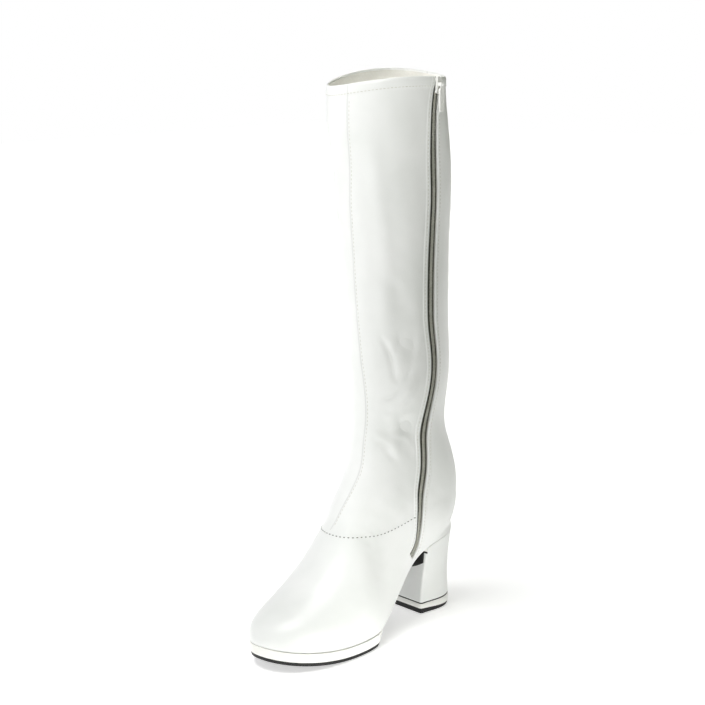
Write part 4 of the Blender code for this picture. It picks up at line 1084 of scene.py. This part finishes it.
def faux_leather(name, seams=()):
    """Polyurethane faux leather, coated and embossed on a knitted backing: a smooth off-white skin
    with a satin sheen that shows as a soft broad highlight, and a grain that is only just there.
    Each seam is a sunken line where the named distance field is near zero, its colour darkened along it as
    painted shade in the groove."""
    material, tree, shader, spots = blank_material(
        name, Roughness=0.38, Coat_Weight=0.14, Coat_Roughness=0.28, Specular_IOR_Level=0.5
    )
    mix = tinted(tree, shader, spots, "#F4F5F3", "#EDEFEC", 55.0, (0.33, 0.43))
    heights = []
    for seam in seams:
        distance = add(tree, "ShaderNodeAttribute", attribute_name=seam).outputs["Fac"]
        far = add(tree, "ShaderNodeMath", {0: distance}, operation="ABSOLUTE").outputs[0]
        ends = {0: far, 1: 0.0, 2: SEAM_HALF}
        groove = add(tree, "ShaderNodeMapRange", ends, interpolation_type="SMOOTHSTEP").outputs[0]
        # Painted shade: the base colour is multiplied darker inside each seam's groove
        seam_groove_shade = add(tree, "ShaderNodeMapRange", {0: groove, 3: 0.86, 4: 1.0}).outputs[0]
        colours = {0: 1.0, 6: mix.outputs[2], 7: seam_groove_shade}
        mix = add(tree, "ShaderNodeMix", colours, data_type="RGBA", blend_type="MULTIPLY")
        heights.append(groove)
    tree.links.new(mix.outputs[2], shader.inputs["Base Color"])
    # The embossed grain is about 0.6 mm across, drawn at 1.3 mm so that it shows at all
    grain = add(tree, "ShaderNodeTexVoronoi", {"Vector": spots, "Scale": 1000 / 1.3}, feature="SMOOTH_F1")
    pores = add(tree, "ShaderNodeTexNoise", {"Vector": spots, "Scale": 1000 / 6.0, "Detail": 4.0})
    depths = (0.035, 0.12) + (SEAM_DEPTH,) * len(heights)
    raised(tree, shader, (grain.outputs[0], pores.outputs[0], *heights), depths, 0.6)
    return material


def textile(name, light, dark, pitch_mm, roughness):
    """A knitted or woven cloth: two crossed sets of threads that catch the light as fine ribs."""
    material, tree, shader, spots = blank_material(name, Roughness=roughness, Sheen_Weight=0.25)
    tinted(tree, shader, spots, light, dark, 18.0)
    weave = {"Vector": spots, "Scale": 1000 / (pitch_mm * 2 * math.pi), "Distortion": 0.6}
    ways = ("Z", "DIAGONAL")
    threads = [add(tree, "ShaderNodeTexWave", weave, bands_direction=way).outputs[1] for way in ways]
    raised(tree, shader, threads, (0.12, 0.12), 0.7)
    return material


def sole_edge_finish():
    """Painted polyurethane edge: smoother and a touch glossier than the upper, faintly uneven."""
    material, tree, shader, spots = blank_material("white_painted_sole_edge", Roughness=0.34, Coat_Weight=0.2)
    tinted(tree, shader, spots, "#FBFBF7", "#F3F3ED", 30.0, (0.28, 0.4))
    ripple = add(tree, "ShaderNodeTexNoise", {"Vector": spots, "Scale": 1000 / 9.0, "Detail": 2.0})
    raised(tree, shader, (ripple.outputs[0],), (0.15,), 0.5)
    return material


def rubber_finish():
    """Moulded black rubber: matt, slightly dusty in patches, with a fine ribbed tread underneath."""
    material, tree, shader, spots = blank_material("black_moulded_rubber", Roughness=0.6)
    tinted(tree, shader, spots, "#0B0B0B", "#161615", 22.0, (0.52, 0.68))
    ribs = {"Vector": spots, "Scale": 1000 / (TREAD_PITCH * 2 * math.pi), "Distortion": 0.0}
    rib = add(tree, "ShaderNodeTexWave", ribs, bands_direction="Y", wave_profile="SIN")
    crumb = add(tree, "ShaderNodeTexNoise", {"Vector": spots, "Scale": 1000 / 0.9, "Detail": 2.0})
    raised(tree, shader, (rib.outputs[1], crumb.outputs[0]), (0.35, 0.06), 0.7)
    return material


def plain_finish(name, light, dark, rough_from, rough_to, size_mm, coat=0.0):
    """A moulded or enamelled surface with faint mottling and a barely uneven skin."""
    material, tree, shader, spots = blank_material(name, Coat_Weight=coat, Coat_Roughness=0.08)
    tinted(tree, shader, spots, light, dark, size_mm, (rough_from, rough_to))
    skin = add(tree, "ShaderNodeTexNoise", {"Vector": spots, "Scale": 1000 / 1.6, "Detail": 2.0})
    raised(tree, shader, (skin.outputs[0],), (0.03,), 0.5)
    return material


LEATHER = faux_leather("white_pu_faux_leather", ("front_seam", "back_seam"))
HEEL_LEATHER = faux_leather("white_pu_heel_cover")
LINING = textile("white_tricot_lining", "#ECEBE5", "#E1E0D9", 1.2, 0.85)
INSOLE_SOCK = textile("cream_insole_sock", "#E6E3DA", "#DAD7CC", 1.0, 0.75)
# Painted shade: the zip tape, taken to be white, is drawn dark grey to stand for the shade in the slot on
# either side of the coil
SLOT_SHADE_TAPE = textile("zip_tape_painted_slot_shade", "#55564B", "#48493F", 1.1, 0.8)
SOLE_EDGE = sole_edge_finish()
RUBBER = rubber_finish()
# Extruded white nylon, slightly waxy, drawn greyer than the leather as painted shade for its place down in
# the slot
SLOT_SHADE_COIL = plain_finish("nylon_coil_painted_slot_shade", "#B6B6AB", "#A6A69A", 0.34, 0.46, 6.0)
# Die-cast zinc under baked white enamel, which gives small sharp highlights on its edges
ENAMEL = plain_finish("white_enamelled_zinc", "#FCFCF9", "#F4F4F0", 0.22, 0.32, 4.0, 0.4)
# Spun polyester thread, a shade greyer than the leather because it lies in its own shadow
THREAD = plain_finish("white_polyester_thread", "#DCDCD3", "#CDCDC2", 0.55, 0.7, 3.0)
# Painted shade: the vamp's stitches are drawn in dark grey thread that stands for the shade in the stitch
# holes
HOLE_SHADE_THREAD = plain_finish("dark_thread_painted_hole_shade", "#5C5C52", "#505047", 0.55, 0.7, 3.0)


def mesh_piece(name, shape, material, replaced=(), body="boot", crease=38.0, fields=()):
    """A finished piece from points in millimetres and four-cornered faces; a repeated corner makes
    a triangle. A shape that is inside out by its signed volume is turned round. Fields are numbers
    for each point that the material reads."""
    points, faces = shape
    corner = points[faces]
    first = np.einsum("ij,ij->", corner[:, 0], np.cross(corner[:, 1], corner[:, 2]))
    second = np.einsum("ij,ij->", corner[:, 0], np.cross(corner[:, 2], corner[:, 3]))
    if first + second < 0:
        faces = faces[:, ::-1]
    keep = faces != np.roll(faces, -1, axis=1)
    count = keep.sum(axis=1)
    faces = faces[count > 2]
    keep = keep[count > 2]
    count = count[count > 2]
    used, corners = np.unique(faces[keep], return_inverse=True)
    mesh = bpy.data.meshes.new(name)
    mesh.vertices.add(len(used))
    mesh.vertices.foreach_set("co", (points[used] * MM).astype(np.float32).ravel())
    mesh.loops.add(len(corners))
    mesh.loops.foreach_set("vertex_index", corners.astype(np.int32).ravel())
    mesh.polygons.add(len(count))
    mesh.polygons.foreach_set("loop_start", (np.cumsum(count) - count).astype(np.int32))
    mesh.update(calc_edges=True)
    for field, values in dict(fields).items():
        layer = mesh.attributes.new(field, "FLOAT", "POINT")
        layer.data.foreach_set("value", values[used].astype(np.float32))
    mesh.validate()
    mesh.polygons.foreach_set("use_smooth", np.ones(len(mesh.polygons), bool))
    mesh.set_sharp_from_angle(angle=math.radians(crease))
    mesh.materials.append(material)
    piece = bpy.data.objects.new(name, mesh)
    bpy.context.scene.collection.objects.link(piece)
    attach(piece, body)
    if replaced:
        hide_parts(*replaced)


def contour(skin, normals, field):
    """The line where a field crosses zero from below along the first axis, one point for each place
    of the second axis, with the normals there."""
    rises = (field[:-1] < 0) & (field[1:] >= 0)
    pick = np.flatnonzero(rises.any(axis=0))
    row = rises.argmax(axis=0)[pick]
    low = field[row, pick]
    share = (-low / (field[row + 1, pick] - low))[:, None]
    line = skin[row, pick] * (1 - share) + skin[row + 1, pick] * share
    return line, normals[row, pick] * (1 - share) + normals[row + 1, pick] * share


def finer(grid, times=12):
    """A grid with its second axis divided evenly, so that a line nearly along it keeps to the
    surface."""
    places = np.arange((grid.shape[1] - 1) * times + 1) / times
    low = np.minimum(places.astype(int), grid.shape[1] - 2)
    share = (places - low).reshape((-1,) + (1,) * (grid.ndim - 2))
    return grid[:, low] * (1 - share) + grid[:, low + 1] * share


def joined(shapes):
    """Several shapes as one."""
    starts = np.cumsum([0] + [len(points) for points, _ in shapes])
    faces = [faces + start for (_, faces), start in zip(shapes, starts)]
    return np.concatenate([points for points, _ in shapes]), np.concatenate(faces)


boot_surface = Surface()
leather_skin = boot_surface.skin(leather_height(boot_surface))

front_seam = front_seam_distance(boot_surface)
seam_fields = {
    "front_seam": np.where(vamp_seam_distance(boot_surface) > 0.0, front_seam, FAR_AWAY),
    "back_seam": back_seam_distance(boot_surface),
}
leather_fields = {key: np.tile(values.ravel(), 2) for key, values in seam_fields.items()}
leather = shell(boot_surface, leather_skin, boot_surface.skin(-LEATHER_WALL))
mesh_piece("upper_leather", leather, LEATHER, ("upper",), fields=leather_fields)
# The lining is glued behind the leather and ends one row below its rounded top edge
lining_skins = [boot_surface.skin(-(LEATHER_WALL + 0.05)), boot_surface.skin(-WALL)]
lining_rows = slice(0, len(boot_surface.length) - 2)
mesh_piece("upper_lining", shell(boot_surface, *lining_skins, lining_rows), LINING)
mesh_piece("insole_sock", insole_shape(), INSOLE_SOCK, ("insole",))
mesh_piece("sole_edge_band", sole_edge_shape(), SOLE_EDGE, ("sole_edge",), crease=50.0)
mesh_piece("rubber_outsole", outsole_shape(), RUBBER, ("outsole",))
mesh_piece("heel_cover", heel_block_shape(), HEEL_LEATHER, ("heel_block",))
# A thin black slice between the cover and the white band: painted shade that stands for the shadow in the gap
# between them
gap_shade_heights = ((BAND_TOP + HEEL_LINE - LAYER_GAP / 2,) * 2, (BAND_TOP + LAYER_GAP / 2,) * 2)
mesh_piece("heel_gap_shade_line", heel_slice_shape(*gap_shade_heights, 0.1, 0.2), RUBBER)
# Painted shadow: a black sheet at the top of the heel's breast stands for the shade under the arch
mesh_piece("heel_breast_shadow_sheet", breast_shadow_sheet_shape(), RUBBER)
band_heights = ((BAND_TOP, BAND_TOP), (TOP_PIECE_BREAST + LAYER_GAP, TOP_PIECE_REAR + LAYER_GAP))
foot_band = heel_slice_shape(*band_heights, -0.2, 0.5)
mesh_piece("heel_foot_band", foot_band, SOLE_EDGE, ("heel_band",))
# Black top lift, thick at the breast: part real rubber, part painted shadow for the contact shade under the
# breast
top_piece = heel_slice_shape((TOP_PIECE_BREAST, TOP_PIECE_REAR), (0.0, 0.0), 0.5, 0.35)
mesh_piece("heel_top_lift", top_piece, RUBBER, ("heel_top_piece",))

mesh_piece("woven_zip_tape", tape_shape(boot_surface), SLOT_SHADE_TAPE, ("zip_tape",))
coil = joined([coil_shape(boot_surface), coil_core_shape(boot_surface)])
mesh_piece("coil_teeth", coil, SLOT_SHADE_COIL, ("zip_coil",), crease=60.0)

# Stitches, each kind with its pitch, length and radius
FACING_THREAD = (3.2, 2.4, 0.26)
VAMP_THREAD = (3.9, 1.9, 0.38)
SHAFT_THREAD = (3.4, 2.2, 0.24)

# Along both facings and above the hem's lower edge
normals = boot_surface.normals
facing_hem = []
stitch_column = 1 + ZIP_SIDE.index(FACING_STITCH)
for side in (-stitch_column, stitch_column):
    facing_line = (boot_surface.slot_rows, boot_surface.zip_column + side)
    facing_hem.append(stitch_shape(leather_skin[facing_line], normals[facing_line], *FACING_THREAD, 2.0))
below = collar_distance(boot_surface)
last_column = below.shape[1]
hem_columns = [*range(boot_surface.zip_column + 3, last_column), *range(1, boot_surface.zip_column - 2)]
hem_field = HEM_STITCH - below[:, hem_columns]
hem_line, hem_out = contour(leather_skin[:, hem_columns], normals[:, hem_columns], hem_field)
facing_hem.append(stitch_shape(hem_line, hem_out, *FACING_THREAD, 1.0))
mesh_piece("facing_and_hem_stitches", joined(facing_hem), THREAD, crease=60.0)

# Along the vamp's seam
INSTEP_ROWS = slice(50, 200)
vamp_part = (INSTEP_ROWS, slice(boot_surface.zip_column + 5, last_column - 1))
vamp_field = vamp_seam_distance(boot_surface)[vamp_part] + VAMP_STITCH
vamp_grids = [finer(grid) for grid in (leather_skin[vamp_part], normals[vamp_part], vamp_field)]
vamp_stitches = stitch_shape(*contour(*vamp_grids), *VAMP_THREAD, 1.0)
mesh_piece("vamp_stitches", vamp_stitches, HOLE_SHADE_THREAD)

# One row of stitches beside the front seam, from the vamp's seam to below the collar
FRONT_FIRST_ROW = 70
FRONT_ROWS_LEFT = 6
shaft_rows = slice(FRONT_FIRST_ROW, len(boot_surface.length) - FRONT_ROWS_LEFT)
front_side = (shaft_rows, slice(boot_surface.zip_column + len(ZIP_SIDE), boot_surface.ridge_column + 20))
front_grids = [grid[front_side].swapaxes(0, 1) for grid in (leather_skin, normals, front_seam + FRONT_STITCH)]
front_stitches = stitch_shape(*contour(*front_grids), *SHAFT_THREAD, 1.0)
mesh_piece("front_seam_stitches", front_stitches, THREAD)

for node_name in ("zip_slider", "zip_pull"):
    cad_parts[node_name].material_slots[0].material = ENAMEL

# Floor, lights and camera

GLOW_NEAR = 0.54
GLOW_FAR = 0.88


def floor_finish():
    """Matt white paper sweep, a little luminous, and more so away from the boot, so that it stays
    as white as the backdrop while the boot keeps a soft shadow."""
    material, tree, shader, spots = blank_material("matt_white_paper", Roughness=0.9)
    tinted(tree, shader, spots, "#F7F7F6", "#F4F4F3", 120.0)
    shader.inputs["Emission Color"].default_value = (1.0, 1.0, 1.0, 1.0)
    away = add(tree, "ShaderNodeVectorMath", {0: spots}, operation="LENGTH").outputs["Value"]
    ends = {0: away, 1: 0.1, 2: 1.1, 3: GLOW_NEAR, 4: GLOW_FAR}
    glow = add(tree, "ShaderNodeMapRange", ends, interpolation_type="SMOOTHSTEP")
    tree.links.new(glow.outputs[0], shader.inputs["Emission Strength"])
    return material


def flat_sheet(name, corners, material):
    """A flat sheet of the set, from its four corners in millimetres."""
    mesh = bpy.data.meshes.new(name)
    mesh.from_pydata((np.array(corners) * MM).tolist(), [], [(0, 1, 2, 3)])
    mesh.materials.append(material)
    piece = bpy.data.objects.new(name, mesh)
    bpy.context.scene.collection.objects.link(piece)
    return piece


FLOOR_HALF = 6000.0
floor_corners = [(x * FLOOR_HALF, y * FLOOR_HALF, 0.0) for x, y in ((-1, -1), (1, -1), (1, 1), (-1, 1))]
paper_floor = flat_sheet("paper_floor", floor_corners, floor_finish())

CAMERA_PLACE = (0.8173, -0.9665, 0.5093)
# The photograph's own view of the boot, and how far the camera then turns left about its own
# upright so that this one boot stands nearer the middle of the frame
PHOTO_AZIMUTH = math.radians(38.84)
CAMERA_PITCH = math.radians(12.15)
TURN_LEFT = math.radians(3.93)
CAMERA_LENS = 73.27

camera_data = bpy.data.cameras.new("studio_camera")
camera_data.lens = CAMERA_LENS
camera_data.sensor_width = 36.0
camera_data.clip_start = 0.05
camera = bpy.data.objects.new("studio_camera", camera_data)
bpy.context.scene.collection.objects.link(camera)
camera.location = CAMERA_PLACE
photo_turn = Matrix.Rotation(PHOTO_AZIMUTH, 3, "Z") @ Matrix.Rotation(math.pi / 2 - CAMERA_PITCH, 3, "X")
camera.rotation_euler = (photo_turn @ Matrix.Rotation(TURN_LEFT, 3, "Y")).to_euler()
bpy.context.scene.camera = camera


def lamp(name, kind, place, power, target=None, **settings):
    """A lamp at place, turned to face target."""
    data = bpy.data.lights.new(name, kind)
    data.energy = power
    for key, value in settings.items():
        setattr(data, key, value)
    piece = bpy.data.objects.new(name, data)
    bpy.context.scene.collection.objects.link(piece)
    piece.location = place
    if target:
        ahead = np.array(target) - np.array(place)
        ahead = ahead / np.linalg.norm(ahead)
        piece.rotation_euler = (math.acos(-ahead[2]), 0.0, math.atan2(-ahead[0], ahead[1]))
    return piece


lamp("top_front_soft_box", "AREA", (-0.3, -0.6, 2.2), 29.5, (0.0, -0.08, 0.15), size=1.0)
# Two small cards on the right: one low, for the inner side of the vamp and the heel, and one high,
# for the collar and what shows of the lining
for name, place, target, size, power, spread in (
    ("low_right_card", (0.46, -0.27, 0.03), (0.03, -0.11, 0.005), 0.16, 0.1, 42.0),
    ("high_right_card", (0.33, -0.52, 0.82), (0.0, 0.02, 0.5), 0.12, 0.03, 26.0),
):
    card = lamp(name, "AREA", place, power, target, size=size, spread=math.radians(spread))
    card.visible_camera = False

FLAG_CENTRE = (400.0, 250.0, 165.0)
FLAG_HALF_WIDTH = 260.0
FLAG_HALF_HEIGHT = 160.0


def flag_corners():
    """Corners of an upright rectangle that faces the boot's middle line."""
    across = np.array((-FLAG_CENTRE[1], FLAG_CENTRE[0], 0.0))
    across *= FLAG_HALF_WIDTH / np.linalg.norm(across)
    up = np.array((0.0, 0.0, FLAG_HALF_HEIGHT))
    return [FLAG_CENTRE + side * across + rise * up for side, rise in ((-1, -1), (1, -1), (1, 1), (-1, 1))]


# A dark cloth flag, to the right and behind, keeps light off the inner side behind the zip
FLAG_CLOTH = textile("dark_grey_flag_cloth", "#34372B", "#2A2C22", 4.0, 0.95)
dark_flag = flat_sheet("dark_flag", flag_corners(), FLAG_CLOTH)
dark_flag.visible_camera = False

# A small lamp inside the shaft brings out the white lining
inner_lamp = lamp("inner_lamp", "POINT", (0.0, -0.02, 0.43), 0.055, shadow_soft_size=0.02)
inner_lamp.visible_camera = False


def studio_world():
    """White surroundings for the camera; for light, they darken and green slightly towards the
    camera's right and behind, as the room does in the photograph."""
    world = bpy.data.worlds.new("studio_surroundings")
    bpy.context.scene.world = world
    world.use_nodes = True
    tree = world.node_tree
    tree.nodes.clear()
    way = add(tree, "ShaderNodeTexCoord").outputs["Generated"]
    to_right = {0: way, 1: (0.78, 0.63, -0.05)}
    side = add(tree, "ShaderNodeVectorMath", to_right, operation="DOT_PRODUCT").outputs["Value"]
    ends = {0: side, 1: -0.5, 2: 0.3}
    share = add(tree, "ShaderNodeMapRange", ends, interpolation_type="SMOOTHSTEP").outputs[0]
    colours = {0: share, 6: linear("#FBFBFE"), 7: linear("#73775F")}
    mix = add(tree, "ShaderNodeMix", colours, data_type="RGBA")
    light = add(tree, "ShaderNodeBackground", {"Color": mix.outputs[2], "Strength": 0.52})
    shown = add(tree, "ShaderNodeBackground", {"Color": (1.0, 1.0, 1.0, 1.0), "Strength": 1.0})
    seen = add(tree, "ShaderNodeLightPath").outputs["Is Camera Ray"]
    both = add(tree, "ShaderNodeMixShader", {0: seen, 1: light.outputs[0], 2: shown.outputs[0]})
    add(tree, "ShaderNodeOutputWorld", {"Surface": both.outputs[0]})


studio_world()
bpy.context.scene.view_settings.view_transform = "Standard"
